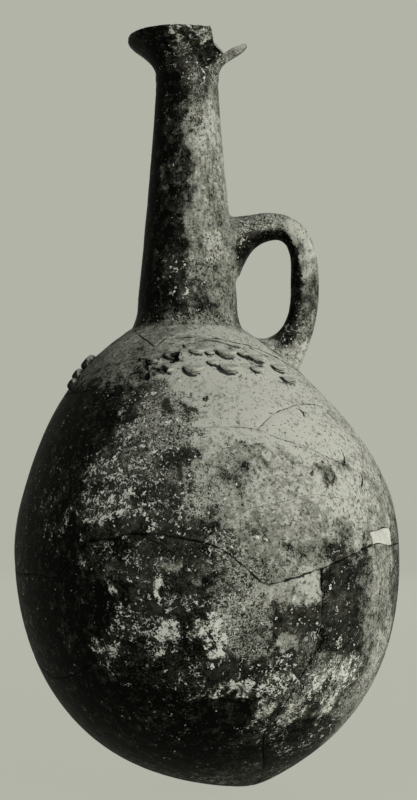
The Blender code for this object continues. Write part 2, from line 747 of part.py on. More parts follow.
def make_wad(jug, seat, cutters):
    """The clay wad pressed round the tenon's end on the inner side of the shoulder."""
    _, inner_place = tenon_through()
    work = bmesh.new()
    bmesh.ops.create_uvsphere(work, u_segments=20, v_segments=10, radius=1.0)
    bmesh.ops.scale(work, vec=(WAD_RADIUS, WAD_RADIUS, WAD_HEIGHT), verts=work.verts)
    turn = Vector((0.0, 0.0, 1.0)).rotation_difference(FOOT_NORMAL).to_matrix().to_4x4()
    bmesh.ops.transform(work, matrix=turn, verts=work.verts)
    bmesh.ops.translate(work, vec=inner_place, verts=work.verts)
    mesh = bpy.data.meshes.new("handle_wad")
    work.to_mesh(mesh)
    work.free()
    wad = add_object("handle_wad", mesh, jug)
    cut(wad, seat)
    cut(wad, tenon_cutter("wad_hole", TENON_RADIUS + SEAT_GAP, cutters))
    finish(wad, "mid")


def scale_height(x, y, z, radius):
    """Height of a scale's skin: blunt at its edge, dished on top and tilted out at its lower end."""
    skin = math.copysign(abs(z) ** SCALE_BLUNTNESS, z) * SCALE_THICKNESS * (1.0 + SCALE_LIP * y)
    dish = SCALE_DISH * (1.0 - x * x - y * y) if z > 0.0 else 0.0
    return skin - dish + radius * y * math.sin(SCALE_TILT)


def make_relief(jug, surface, seat):
    """Clay scales and knobs laid on the shoulder, each a pressed lump cut by the wall's own form."""
    for name, (azimuth, latitude, radius_mm) in RELIEF.items():
        radius = radius_mm / 1000.0
        place, normal = surface_point(surface, azimuth, latitude)
        downhill = (Vector((0.0, 0.0, -1.0)) + normal * normal.z).normalized()
        across = downhill.cross(normal)
        work = bmesh.new()
        bmesh.ops.create_uvsphere(work, u_segments=14, v_segments=8, radius=1.0)
        for vertex in work.verts:
            x, y, z = vertex.co
            height = z * KNOB_THICKNESS if "knob" in name else scale_height(x, y, z, radius)
            vertex.co = place + across * (x * radius) + downhill * (y * radius) + normal * height
        bmesh.ops.recalc_face_normals(work, faces=work.faces)
        mesh = bpy.data.meshes.new(name)
        work.to_mesh(mesh)
        work.free()
        lump = add_object(name, mesh, jug)
        cut(lump, seat)
        finish(lump, "pale" if azimuth > PALE_RELIEF_FROM else "mid")


jug_pieces, jug_cutters = reset_scene()
body_skin = leaned(turned("body_skin", body_outer(), jug_cutters, BODY_STEPS))
FOOT_PLACE, FOOT_NORMAL = surface_point(body_skin, 90.0, HANDLE_FOOT_LATITUDE)
wall_seat = make_seat(jug_cutters)
make_sherds(jug_pieces, jug_cutters)
make_neck(jug_pieces, wall_seat)
make_mouth(jug_pieces, jug_cutters)
make_handle(jug_pieces, jug_cutters)
make_wad(jug_pieces, wall_seat, jug_cutters)
make_relief(jug_pieces, body_skin, wall_seat)
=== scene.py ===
"""Dressed scene of a mended long-necked ceramic jug.

The jug is hand built: a thin turned and leaned body wall that was broken and fitted together again
from its sherds, a tapering neck, a flared mouth with a piece broken out, a round handle luted to the
neck and thrust through the shoulder, and clay scales and knobs laid on the shoulder.

Lengths are metres, +Z is up, the front faces -Y and the handle stands towards +X.
"""
import logging
import math
from dataclasses import dataclass, field, replace
from enum import Enum
from functools import partial
from typing import Callable, Iterable, Sequence

import bmesh
import bpy
import numpy as np
from mathutils import Matrix, Vector
from mathutils.bvhtree import BVHTree

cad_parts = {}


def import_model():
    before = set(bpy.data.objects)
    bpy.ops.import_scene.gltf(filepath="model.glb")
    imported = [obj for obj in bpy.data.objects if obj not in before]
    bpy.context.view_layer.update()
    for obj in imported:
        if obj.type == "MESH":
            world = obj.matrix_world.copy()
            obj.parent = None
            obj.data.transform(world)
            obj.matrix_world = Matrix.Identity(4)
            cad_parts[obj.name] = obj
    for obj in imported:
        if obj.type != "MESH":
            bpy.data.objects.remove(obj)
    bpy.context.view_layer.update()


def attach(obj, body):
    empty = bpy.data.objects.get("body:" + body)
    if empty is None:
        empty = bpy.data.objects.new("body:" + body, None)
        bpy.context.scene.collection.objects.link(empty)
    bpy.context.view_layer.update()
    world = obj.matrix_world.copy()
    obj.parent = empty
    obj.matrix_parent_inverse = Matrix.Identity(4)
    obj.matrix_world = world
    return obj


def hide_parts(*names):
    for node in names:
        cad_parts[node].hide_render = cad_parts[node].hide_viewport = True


LOG = logging.getLogger("ceramic_jug")
MM = 0.001


class Slot(Enum):
    """Material slots of the record."""

    DARK = "dark_burnished_clay"
    MID = "mid_worn_clay"
    PALE = "pale_worn_clay"
    FILL = "plaster_fill"


@dataclass(frozen=True)
class SeamLook:
    """A break line's width, the dark earth in it, the filler rubbed over it, and how far these reach beside it."""

    width: float
    dirt: float
    filler: float
    reach: float


class Seam(Enum):
    """How a break line shows on the skin."""

    OPEN = SeamLook(0.00045, 0.92, 0.0, 0.0010)
    TIGHT = SeamLook(0.00032, 0.48, 0.0, 0.0009)
    FILLED = SeamLook(0.00030, 0.0, 0.7, 0.0011)
    NICK = SeamLook(0.0, 1.15, 0.0, 0.0016)
    FAINT = SeamLook(0.00030, 0.24, 0.3, 0.0009)


# Helpers for curves and meshes


def bezier(start: Sequence[float], start_pull: Sequence[float], end_pull: Sequence[float],
           end: Sequence[float], steps: int) -> np.ndarray:
    """Points of a cubic curve in the profile plane.

    Args:
        start: First point.
        start_pull: Control point that the curve leaves towards.
        end_pull: Control point that the curve arrives from.
        end: Last point.
        steps: Number of steps between the ends.

    Returns:
        An array of steps + 1 points.
    """
    t = np.linspace(0.0, 1.0, steps + 1)[:, None]
    s = 1.0 - t
    corners = [np.array(corner, dtype=float) for corner in (start, start_pull, end_pull, end)]
    return s ** 3 * corners[0] + 3 * s * s * t * corners[1] + 3 * s * t * t * corners[2] + t ** 3 * corners[3]


def offset(profile: np.ndarray, distance: float) -> np.ndarray:
    """Move a top-to-bottom profile outwards.

    Args:
        profile: Points of radius and height.
        distance: How far outwards, negative for inwards.

    Returns:
        The moved profile, with points on the axis kept there.
    """
    tangent = unit(np.gradient(profile, axis=0))
    moved = profile + distance * np.stack([-tangent[:, 1], tangent[:, 0]], axis=1)
    on_axis = profile[:, 0] < 1e-9
    moved[on_axis, 0] = 0.0
    moved[on_axis, 1] = profile[on_axis, 1] - distance
    return moved


def smoothstep(value: np.ndarray, low: float, high: float) -> np.ndarray:
    """Ease from 0 at low to 1 at high."""
    t = np.clip((value - low) / (high - low), 0.0, 1.0)
    return t * t * (3.0 - 2.0 * t)


def linked(name: str, mesh: bpy.types.Mesh) -> bpy.types.Object:
    """Link a mesh to the scene as a new object at the origin."""
    obj = bpy.data.objects.new(name, mesh)
    bpy.context.scene.collection.objects.link(obj)
    return obj


def mesh_from(name: str, points: Iterable[Sequence[float]], edges: Sequence[Sequence[int]] = (),
              faces: Sequence[Sequence[int]] = ()) -> bpy.types.Mesh:
    """Make a mesh from points, edges and faces."""
    mesh = bpy.data.meshes.new(name)
    mesh.from_pydata([tuple(point) for point in points], list(edges), list(faces))
    mesh.validate()
    return mesh


def settle(obj: bpy.types.Object) -> bpy.types.Object:
    """Turn an object's modifiers into its own plain mesh and remove them.

    Args:
        obj: The object, at the origin.

    Returns:
        The same object.
    """
    graph = bpy.context.evaluated_depsgraph_get()
    mesh = bpy.data.meshes.new_from_object(obj.evaluated_get(graph))
    obj.modifiers.clear()
    old = obj.data
    obj.data = mesh
    mesh.name = obj.name
    if old.users == 0:
        bpy.data.meshes.remove(old)
    return obj


def discard(*objects: bpy.types.Object) -> None:
    """Remove helper objects once they have done their work."""
    for obj in objects:
        bpy.data.objects.remove(obj)


def cut(obj: bpy.types.Object, cutter: bpy.types.Object, operation: str = "DIFFERENCE") -> None:
    """Add a Boolean between two closed bodies, with the manifold solver."""
    boolean = obj.modifiers.new(operation.lower(), "BOOLEAN")
    boolean.operation = operation
    boolean.solver = "MANIFOLD"
    boolean.object = cutter


def coordinates(mesh: bpy.types.Mesh) -> np.ndarray:
    """The mesh's vertices as an array of points."""
    flat = np.empty(len(mesh.vertices) * 3)
    mesh.vertices.foreach_get("co", flat)
    return flat.reshape(-1, 3)


def move_vertices(mesh: bpy.types.Mesh, points: np.ndarray) -> None:
    """Put the mesh's vertices where the array says."""
    mesh.vertices.foreach_set("co", points.ravel())
    mesh.update()


def paint(mesh: bpy.types.Mesh, name: str, values: np.ndarray | float) -> None:
    """Store one value for the mesh, or a value or a direction for each vertex, as an attribute.

    Args:
        mesh: The mesh to paint.
        name: The attribute's name.
        values: One value for all, or one row for each vertex.
    """
    values = np.ascontiguousarray(values, dtype=np.float32)
    if values.size == 1:
        values = np.full(len(mesh.vertices), values.item(), dtype=np.float32)
    kind, item = ("FLOAT_VECTOR", "vector") if values.ndim == 2 else ("FLOAT", "value")
    layer = mesh.attributes.get(name) or mesh.attributes.new(name, kind, "POINT")
    layer.data.foreach_set(item, values.ravel())


def vertex_normals(mesh: bpy.types.Mesh) -> np.ndarray:
    """Outward direction at each vertex."""
    flat = np.empty(len(mesh.vertices) * 3, dtype=np.float32)
    mesh.vertex_normals.foreach_get("vector", flat)
    return flat.reshape(-1, 3)


def unit(rows: np.ndarray) -> np.ndarray:
    """Each row scaled to length 1."""
    return rows / np.maximum(np.linalg.norm(rows, axis=1), 1e-9)[:, None]


def lengths_along(path: np.ndarray) -> np.ndarray:
    """Distance of each point of a path from its start, along it."""
    return np.concatenate([[0.0], np.cumsum(np.linalg.norm(np.diff(path, axis=0), axis=1))])


def ring_faces(rings: int, sides: int) -> list[tuple[int, ...]]:
    """Quads between each ring of points and the next."""
    return [
        (ring * sides + side, ring * sides + (side + 1) % sides,
         (ring + 1) * sides + (side + 1) % sides, (ring + 1) * sides + side)
        for ring in range(rings - 1) for side in range(sides)
    ]


def distance_to_lines(points: np.ndarray, lines: Sequence[np.ndarray], reach: float) -> np.ndarray:
    """Distance from each point to the nearest of several polylines.

    Args:
        points: Points to measure from.
        lines: Polylines in space.
        reach: Distance beyond which the answer doesn't matter.

    Returns:
        One distance for each point, at most reach.
    """
    best = np.full(len(points), reach)
    for line in lines:
        for start, end in zip(line, line[1:]):
            low = np.minimum(start, end) - reach
            high = np.maximum(start, end) + reach
            near = np.nonzero(np.all((points > low) & (points < high), axis=1))[0]
            if len(near) == 0:
                continue
            along = end - start
            local = points[near] - start
            t = np.clip(local @ along / max(along @ along, 1e-18), 0.0, 1.0)
            best[near] = np.minimum(best[near], np.linalg.norm(local - t[:, None] * along, axis=1))
    return best


# Nodes

# Settings of a Map Range node that eases from 0 to 1, and of a Mix node for colours
EASED = {"interpolation_type": "SMOOTHSTEP"}
COLOURS = {"data_type": "RGBA", "out": 2}


def add_node(tree: bpy.types.NodeTree, kind: str, *inputs: object, out: int | str = 0,
             **settings: object) -> bpy.types.NodeSocket | None:
    """Add one node with its settings and links.

    Args:
        tree: The tree that gets the node.
        kind: The node's type, without ShaderNode in front, and after a space its operation if it has one.
        inputs: Sockets to link or plain values in the order of the node's inputs, or one dict of them by
            name or place.
        out: Name or place of the output that is wanted.
        settings: Properties of the node.

    Returns:
        That output, or None for a node without outputs.
    """
    kind, _, operation = kind.partition(" ")
    node = tree.nodes.new(kind if "Node" in kind else "ShaderNode" + kind)
    if operation:
        node.operation = operation
    for key, value in settings.items():
        setattr(node, key, value)
    for key, value in inputs[0].items() if inputs and isinstance(inputs[0], dict) else enumerate(inputs):
        if isinstance(value, bpy.types.NodeSocket):
            tree.links.new(value, node.inputs[key])
        else:
            node.inputs[key].default_value = value
    return node.outputs[out] if len(node.outputs) else None


def new_tree(name: str, sockets: dict[str, int | float | None]) -> tuple[bpy.types.NodeTree, Sequence]:
    """Start a geometry tree with its named inputs.

    Args:
        name: The tree's name.
        sockets: Default of each input after the geometry, or None for a material.

    Returns:
        The tree and the sockets that it is given.
    """
    kinds = {int: "NodeSocketInt", float: "NodeSocketFloat", type(None): "NodeSocketMaterial"}
    tree = bpy.data.node_groups.new(name, "GeometryNodeTree")
    tree.interface.new_socket("Geometry", in_out="INPUT", socket_type="NodeSocketGeometry")
    for label, default in sockets.items():
        socket = tree.interface.new_socket(label, in_out="INPUT", socket_type=kinds[type(default)])
        if default is not None:
            socket.default_value = default
    tree.interface.new_socket("Geometry", in_out="OUTPUT", socket_type="NodeSocketGeometry")
    return tree, add_node(tree, "NodeGroupInput").node.outputs


def close_tree(tree: bpy.types.NodeTree, shape: bpy.types.NodeSocket, skin: bpy.types.NodeSocket) -> None:
    """End a geometry tree with real geometry in its own material."""
    whole = add_node(tree, "GeometryNodeRealizeInstances", shape)
    dressed = add_node(tree, "GeometryNodeSetMaterial", {"Geometry": whole, "Material": skin})
    add_node(tree, "NodeGroupOutput", dressed)


def run_tree(obj: bpy.types.Object, tree: bpy.types.NodeTree, values: dict[str, object]) -> bpy.types.Object:
    """Run a geometry tree on an object and keep the result as its plain mesh.

    Args:
        obj: The object whose mesh goes in.
        tree: The tree.
        values: Inputs by name.

    Returns:
        The same object.
    """
    modifier = obj.modifiers.new(tree.name, "NODES")
    modifier.node_group = tree
    for item in tree.interface.items_tree:
        if item.item_type == "SOCKET" and item.in_out == "INPUT" and item.name in values:
            modifier[item.identifier] = values[item.name]
    return settle(obj)


def turned_tree() -> bpy.types.NodeTree:
    """Tree that turns a section about the upright axis.

    Each point of the section holds its radius in X, its sideways lean in Y and its height in Z.

    Returns:
        The geometry tree.
    """
    tree, given = new_tree("turned_clay", {"Steps": 64, "Points": 2, "Skin": None})
    add = partial(add_node, tree)
    columns = add("Math ADD", given["Steps"], 1.0)
    grid = add("GeometryNodeMeshGrid", {"Vertices X": columns, "Vertices Y": given["Points"]})
    index = add("GeometryNodeInputIndex")
    column = add("Math FLOOR", add("Math DIVIDE", index, given["Points"]))
    row = add("Math MODULO", index, given["Points"])
    place = add("GeometryNodeInputPosition")
    sample = add("GeometryNodeSampleIndex", {"Geometry": given["Geometry"], "Value": place, "Index": row},
                 data_type="FLOAT_VECTOR", domain="POINT")
    radius, lean, rise = add("SeparateXYZ", sample).node.outputs
    angle = add("Math MULTIPLY", add("Math DIVIDE", column, given["Steps"]), math.tau)
    across = add("Math MULTIPLY_ADD", add("Math COSINE", angle), radius, lean)
    deep = add("Math MULTIPLY", add("Math SINE", angle), radius)
    spot = add("CombineXYZ", across, deep, rise)
    turned = add("GeometryNodeSetPosition", {"Geometry": grid, "Position": spot})
    joined = add("GeometryNodeMergeByDistance", {"Geometry": turned, "Distance": 0.000002})
    close_tree(tree, joined, given["Skin"])
    return tree


def weathering_tree() -> bpy.types.NodeTree:
    """Tree that wears a fired clay skin: hand-built unevenness, pits and flaking.

    It reads the attributes inward, exposed, rough and broken, and moves the skin only inwards, so
    the piece keeps to its size.

    Returns:
        The geometry tree.
    """
    tree, given = new_tree("weathered_clay", {
        "Unevenness": 0.0005, "Unevenness Size": 0.045, "Pitting": 0.0003, "Pitting Size": 0.007,
        "Roughness": 0.0004, "Roughness Size": 0.0022, "Seed": 1.0, "Skin": None, "Break": None,
    })
    add = partial(add_node, tree)
    place = add("GeometryNodeInputPosition")
    kinds = {"exposed": "FLOAT", "rough": "FLOAT", "broken": "FLOAT", "inward": "FLOAT_VECTOR"}
    stored = {
        name: add("GeometryNodeInputNamedAttribute", name, data_type=kind) for name, kind in kinds.items()
    }
    noise = {
        name: add("TexNoise", {
            "Vector": place, "W": given["Seed"], "Scale": add("Math DIVIDE", 1.0, given[name + " Size"]),
            "Detail": detail, "Roughness": 0.55,
        }, noise_dimensions="4D")
        for name, detail in (("Unevenness", 2.0), ("Pitting", 4.0), ("Roughness", 3.0))
    }
    slow = add("Math MULTIPLY", noise["Unevenness"], given["Unevenness"])
    # Only the upper half of the noise makes pits, so that they stand apart
    pit = add("Math MULTIPLY", add("Math SUBTRACT", noise["Pitting"], 0.5), 4.0)
    pits = add("Math MULTIPLY", add("Math MAXIMUM", pit, 0.0), given["Pitting"])
    flaking = add("Math MULTIPLY", add("Math MULTIPLY", noise["Roughness"], given["Roughness"]), stored["rough"])
    depth = add("Math ADD", add("Math ADD", slow, pits), flaking)
    depth = add("Math MULTIPLY", depth, stored["exposed"])
    move = add("VectorMath SCALE", {0: stored["inward"], "Scale": depth})
    worn = add("GeometryNodeSetPosition", {"Geometry": given["Geometry"], "Offset": move})
    whole = add("GeometryNodeRealizeInstances", worn)
    skin = add("GeometryNodeSetMaterial", {"Geometry": whole, "Material": given["Skin"]})
    broken = add("FunctionNodeCompare GREATER_THAN", stored["broken"], 0.5)
    add("NodeGroupOutput", add("GeometryNodeSetMaterial", {
        "Geometry": skin, "Selection": broken, "Material": given["Break"],
    }))
    return tree


def scale_tree() -> bpy.types.NodeTree:
    """Tree that presses a round lump into a relief scale, flat in XY with its lower end towards +Y.

    Returns:
        The geometry tree.
    """
    tree, given = new_tree("pressed_scale", {
        "Radius": 0.006, "Thickness": 0.0028, "Tilt": 0.38, "Lip": 0.25, "Dish": 0.0008, "Bluntness": 0.7,
        "Unevenness": 0.12, "Seed": 1.0, "Skin": None,
    })
    add = partial(add_node, tree)
    ball = add("GeometryNodeMeshUVSphere", {"Segments": 56, "Rings": 28, "Radius": 1.0})
    place = add("GeometryNodeInputPosition")
    x, y, z = add("SeparateXYZ", place).node.outputs
    radius = given["Radius"]
    # A flattened ball, thicker at its lower lip, dished by the fingertip and tilted
    blunt = add("Math POWER", add("Math ABSOLUTE", z), given["Bluntness"])
    lip = add("Math MULTIPLY_ADD", y, given["Lip"], 1.0)
    body = add("Math MULTIPLY", add("Math MULTIPLY", blunt, add("Math SIGN", z)), lip)
    skin = add("Math MULTIPLY", body, given["Thickness"])
    hollow = add("Math MULTIPLY", add("Math GREATER_THAN", z, 0.0), add("Math MULTIPLY", z, z))
    dished = add("Math MULTIPLY_ADD", hollow, add("Math MULTIPLY", given["Dish"], -1.0), skin)
    slope = add("Math MULTIPLY", radius, add("Math SINE", given["Tilt"]))
    height = add("Math MULTIPLY_ADD", y, slope, dished)
    lumps = add("TexNoise", {
        "Vector": place, "W": given["Seed"], "Scale": 1.1, "Detail": 3.0,
    }, noise_dimensions="4D")
    swell = add("Math MULTIPLY_ADD", add("Math SUBTRACT", lumps, 0.62), given["Unevenness"], 1.0)
    wide = add("Math MULTIPLY", radius, swell)
    spot = add("CombineXYZ", *(add("Math MULTIPLY", *pair) for pair in ((x, wide), (y, wide), (height, swell))))
    pressed = add("GeometryNodeSetPosition", {"Geometry": ball, "Position": spot})
    close_tree(tree, pressed, given["Skin"])
    return tree


# The jug's forms


@dataclass(frozen=True)
class Strip:
    """A thin closed wall that follows a line on the body, used to part or groove it.

    Attributes:
        rays: Directions from the belly's centre, one for each step.
        near: Distance of the wall's inner side at each step.
        far: Distance of the wall's outer side at each step.
        half: Half the wall's thickness at each step.
    """

    rays: np.ndarray
    near: np.ndarray
    far: np.ndarray
    half: np.ndarray

    def build(self, name: str, centre: Vector) -> bpy.types.Object:
        """Build the wall as a closed band of quads.

        Args:
            name: The object's name.
            centre: The point that the rays leave from.

        Returns:
            The wall's object.
        """
        shift = unit(np.cross(self.rays, np.gradient(self.rays, axis=0))) * self.half[:, None]
        rows = np.stack([
            self.rays * self.near[:, None] - shift, self.rays * self.near[:, None] + shift,
            self.rays * self.far[:, None] + shift, self.rays * self.far[:, None] - shift,
        ], axis=1)
        points = rows.reshape(-1, 3) + np.array(centre)
        last = 4 * (len(self.rays) - 1)
        faces = [*ring_faces(len(self.rays), 4), (3, 2, 1, 0), tuple(range(last, last + 4))]
        return outward(linked(name, mesh_from(name, points, faces=faces)))


def outward(obj: bpy.types.Object) -> bpy.types.Object:
    """Point the faces of a closed mesh outwards.

    Args:
        obj: The object of the mesh.

    Returns:
        The same object.
    """
    work = bmesh.new()
    work.from_mesh(obj.data)
    bmesh.ops.recalc_face_normals(work, faces=work.faces)
    work.to_mesh(obj.data)
    work.free()
    return obj


def direction(azimuth: float, latitude: float) -> np.ndarray:
    """Unit vector from the belly's centre, with azimuth 0 at the front and 90 at the handle, in degrees."""
    az, lat = math.radians(azimuth), math.radians(latitude)
    return np.array([math.cos(lat) * math.sin(az), -math.cos(lat) * math.cos(az), math.sin(lat)])


def smooth_rays(line: Sequence[tuple[float, float]], step: float, wander: float, seed: int) -> np.ndarray:
    """Directions along a given line, eased through its points and wandering between them.

    Args:
        line: Points of azimuth and latitude in degrees.
        step: Length of a step, as an angle in radians.
        wander: How far the line wanders sideways between its points, in radians.
        seed: Seed of the wandering.

    Returns:
        Unit vectors from the belly's centre.
    """
    corners = np.array([direction(*point) for point in line])
    slopes = np.gradient(corners, axis=0) * 0.5
    rng = np.random.default_rng(seed)
    rays = []
    for index in range(len(corners) - 1):
        start, end = corners[index], corners[index + 1]
        reach = np.linalg.norm(end - start)
        count = max(int(reach / step), 2)
        t = np.linspace(0.0, 1.0, count, endpoint=False)[:, None]
        bend = (
            (2 * t ** 3 - 3 * t ** 2 + 1) * start + (t ** 3 - 2 * t ** 2 + t) * slopes[index]
            + (-2 * t ** 3 + 3 * t ** 2) * end + (t ** 3 - t ** 2) * slopes[index + 1]
        )
        side = np.cross(start, end - start) / reach
        waves = sum(
            rng.normal() * np.sin(math.pi * turns * t + rng.uniform(0.0, math.tau)) / turns
            for turns in (2, 3, 5, 8)
        )
        rays.append(bend + side * waves * wander * np.sin(math.pi * t) * min(1.0, reach / 0.15))
    rays.append(corners[-1:])
    joined = np.concatenate(rays)
    first = joined[0] - (joined[1] - joined[0]) * 0.35
    last = joined[-1] + (joined[-1] - joined[-2]) * 0.35
    joined = np.concatenate([first[None], joined[1:-1], last[None]])
    return unit(joined)


@dataclass(frozen=True)
class BodyForm:
    """The hand-built body's form: its profile and the sideways lean of its centre line, in metres."""

    belly_radius: float = 0.1338
    belly_height: float = 0.1645
    height: float = 0.3216
    opening_radius: float = 0.0345
    opening_rise: float = 0.0200
    shoulder_slope: float = math.radians(23.0)
    shoulder_reach: float = 0.0350
    belly_upper_reach: float = 0.0750
    belly_lower_reach: float = 0.1515
    base_reach: float = 0.0065
    wall: float = 0.0065
    base_thickness: float = 0.0090
    hollow_lower_reach: float = 0.1420
    hollow_base_reach: float = 0.0150
    overrun: float = 0.0060
    neck_shift: float = -0.0137
    lean_start: float = 0.2000
    lower_shift: float = 0.0040
    tip_shift: float = 0.0230
    tip_fade: float = 0.0090

    @property
    def centre(self) -> Vector:
        """The point that break lines and relief are aimed from."""
        return Vector((0.0, 0.0, self.belly_height))

    @property
    def neck_axis(self) -> float:
        """Sideways place of the axis that the neck and the mouth share."""
        return float(self.lean(np.array([self.height]))[0])

    def lean(self, height: np.ndarray) -> np.ndarray:
        """Sideways shift of the centre line at each height."""
        rise = np.clip((height - self.lean_start) / (self.height - self.lean_start), 0.0, 1.0)
        upper = self.neck_shift * rise * rise * (3.0 - 2.0 * rise)
        lower = self.lower_shift * np.clip(1.0 - height / self.belly_height, 0.0, None)
        return upper + lower + self.tip_shift * np.exp(-height / self.tip_fade)

    def outer(self, upper_steps: int, lower_steps: int) -> np.ndarray:
        """Outer profile from just inside the opening down to the base tip.

        Args:
            upper_steps: Steps above the belly.
            lower_steps: Steps below it.

        Returns:
            Points of radius and height.
        """
        slope = np.array([math.cos(self.shoulder_slope), -math.sin(self.shoulder_slope)])
        start = np.array([self.opening_radius, self.height]) - slope * self.overrun
        belly = (self.belly_radius, self.belly_height)
        upper = bezier(start, start + slope * (self.overrun + self.shoulder_reach),
                       (self.belly_radius, self.belly_height + self.belly_upper_reach), belly, upper_steps)
        lower = bezier(belly, (self.belly_radius, self.belly_height - self.belly_lower_reach),
                       (self.base_reach, 0.0), (0.0, 0.0), lower_steps)
        return np.concatenate([upper, lower[1:]])

    def inner(self, upper_steps: int, lower_steps: int) -> np.ndarray:
        """Inner profile: one wall inside the shoulder, and thicker towards the base.

        Args:
            upper_steps: Steps above the belly.
            lower_steps: Steps below it.

        Returns:
            Points of radius and height.
        """
        upper = offset(self.outer(upper_steps, lower_steps), -self.wall)[:upper_steps]
        hollow = self.belly_radius - self.wall
        lower = bezier((hollow, self.belly_height), (hollow, self.belly_height - self.hollow_lower_reach),
                       (self.hollow_base_reach, self.base_thickness), (0.0, self.base_thickness), lower_steps)
        return np.concatenate([upper, lower])

    def section(self, profile: np.ndarray) -> np.ndarray:
        """Add the lean to a profile, as radius, sideways shift and height."""
        return np.stack([profile[:, 0], self.lean(profile[:, 1]), profile[:, 1]], axis=1)

    def seen_from_centre(self, radius: np.ndarray, height: np.ndarray) -> tuple[np.ndarray, np.ndarray]:
        """Angle above the belly and distance from its centre, for radii and heights."""
        return np.arctan2(height - self.belly_height, radius), np.hypot(height - self.belly_height, radius)

    def skin_depth(self, points: np.ndarray) -> np.ndarray:
        """How deep points lie under the outer skin, along the ray from the belly's centre line."""
        angle, reach = self.seen_from_centre(*self.outer(400, 600)[::-1].T)
        radius = np.hypot(points[:, 0] - self.lean(points[:, 2]), points[:, 1])
        own_angle, own_reach = self.seen_from_centre(radius, points[:, 2])
        return np.interp(own_angle, angle, reach) - own_reach

    def outwards(self, points: np.ndarray) -> np.ndarray:
        """Outward direction of the smooth skin nearest to each point.

        Args:
            points: Places near the skin.

        Returns:
            A unit vector for each point.
        """
        profile = self.outer(400, 600)
        tangent = unit(np.gradient(profile, axis=0))[::-1]
        angle, _ = self.seen_from_centre(*profile[::-1].T)
        centred = points[:, 0] - self.lean(points[:, 2])
        radius = np.hypot(centred, points[:, 1])
        own_angle, _ = self.seen_from_centre(radius, points[:, 2])
        across = np.interp(own_angle, angle, -tangent[:, 1])
        rise = np.interp(own_angle, angle, tangent[:, 0])
        round_about = np.maximum(radius, 1e-6)
        return unit(np.stack([across * centred / round_about, across * points[:, 1] / round_about, rise], axis=1))

    def opening(self, sink: float, sides: int) -> bpy.types.Object:
        """The bar that cuts the opening under the neck, wider by a small sink."""
        ends = [(self.neck_axis, 0.0, self.height + rise) for rise in (-self.opening_rise, self.opening_rise)]
        return bar("opening", self.opening_radius + sink, *ends, sides)


FORM = BodyForm()


# Break lines of the body, as azimuth and latitude in degrees seen from the belly's centre, and how each shows
BREAKS: dict[str, tuple[Seam, list[tuple[float, float]]]] = {
    "shoulder_ring": (Seam.OPEN, [
        (-62, 84), (-62, 70), (-31.5, 64.5), (-28, 68), (-18, 69), (-2, 70.5), (24, 70.5), (34, 70.5),
        (49, 68.5), (66, 65.5), (80, 61.5), (95, 59.5), (112, 62), (133, 68), (148, 84),
    ]),
    "left_upright": (Seam.FAINT, [
        (-31.5, 64.5), (-32.5, 59), (-26.5, 51), (-20.5, 39.5), (-27, 31.5), (-31, 17), (-33.5, 6),
    ]),
    "left_shoulder": (Seam.TIGHT, [
        (-26.5, 51), (-47, 49.5), (-59, 48), (-76, 47.5), (-100, 45), (-131, 49), (-158, 51),
    ]),
    "front_shoulder": (Seam.TIGHT, [
        (-20.5, 39.5), (-9, 37), (2, 38.5), (17.5, 38), (24, 35.5), (35, 32.5), (44.5, 28.5), (57, 24),
    ]),
    "right_lens": (Seam.TIGHT, [
        (17.5, 38), (25, 43), (38, 47), (46, 48), (57, 47.5), (66, 44), (73, 39),
    ]),
    "right_upright": (Seam.TIGHT, [
        (73, 39), (69, 33), (57, 24), (54.5, 21), (48.5, 15.5),
    ]),
    "right_shoulder": (Seam.TIGHT, [
        (73, 39), (95, 41), (124, 44), (153, 47),
    ]),
    "front_arch": (Seam.FILLED, [
        (-0.5, 6), (5, 11), (12, 15), (20.5, 16.5), (31, 18.5), (40.5, 17.5), (48.5, 15.5), (51.5, 11),
        (53, 7.5), (54, 4),
    ]),
    "belly": (Seam.OPEN, [
        (-33.5, 6), (-26, 6.5), (-21, 8), (-12.5, 8), (-0.5, 6), (6, 3), (16, -5), (32, -1.5), (54, 4),
        (67, 3), (83, 3), (95, 4), (125, 1), (153, 3),
    ]),
    "fill": (Seam.OPEN, [
        (53, 7.5), (66, 8), (67, 3),
    ]),
    "left_belly": (Seam.TIGHT, [
        (-33.5, 6), (-46, -4.5), (-57, -4.5), (-72, -5.5), (-95, -2), (-125, -6), (-158, -2),
    ]),
    "dark_left": (Seam.OPEN, [
        (32, -1.5), (33, -11.5), (33, -18.5), (32, -24.5),
    ]),
    "dark_right": (Seam.FILLED, [
        (54, 4), (54, -8.5), (56.5, -21),
    ]),
    "lower_belly": (Seam.TIGHT, [
        (-155, -28), (-110, -31), (-80, -30), (-61, -34.5), (-48, -32.5), (-32, -26), (-20, -22), (-9, -27),
        (1, -31.5), (9, -27), (18, -25), (32, -24.5), (43, -23.5), (52, -23), (56.5, -21), (73, -28),
        (98, -27), (125, -30), (153, -27),
    ]),
    "base_wedge": (Seam.TIGHT, [
        (1, -31.5), (13, -33), (26, -37),
    ]),
    "base_front": (Seam.OPEN, [
        (32, -24.5), (29.5, -29), (26, -37), (23, -43), (21, -47), (24, -54), (42, -70), (70, -79),
    ]),
    "base_left": (Seam.TIGHT, [
        (-155, -28), (-150.5, -50), (-148, -70), (70, -79),
    ]),
    "base_right": (Seam.TIGHT, [
        (153, -27), (166, -50), (151, -72), (70, -79),
    ]),
    "back_left": (Seam.TIGHT, [
        (-160, 84), (-161, 70), (-158, 51), (-151, 25), (-158, -2), (-155, -28),
    ]),
    "back_right": (Seam.TIGHT, [
        (133, 68), (153, 47), (151, 25), (153, 3), (153, -27),
    ]),
    "back_shoulder": (Seam.TIGHT, [
        (153, 47), (178, 44), (202, 51),
    ]),
    "back_belly": (Seam.TIGHT, [
        (153, 3), (176, 6), (202, -2),
    ]),
    "back_base": (Seam.TIGHT, [
        (153, -27), (176, -31), (205, -28),
    ]),
}

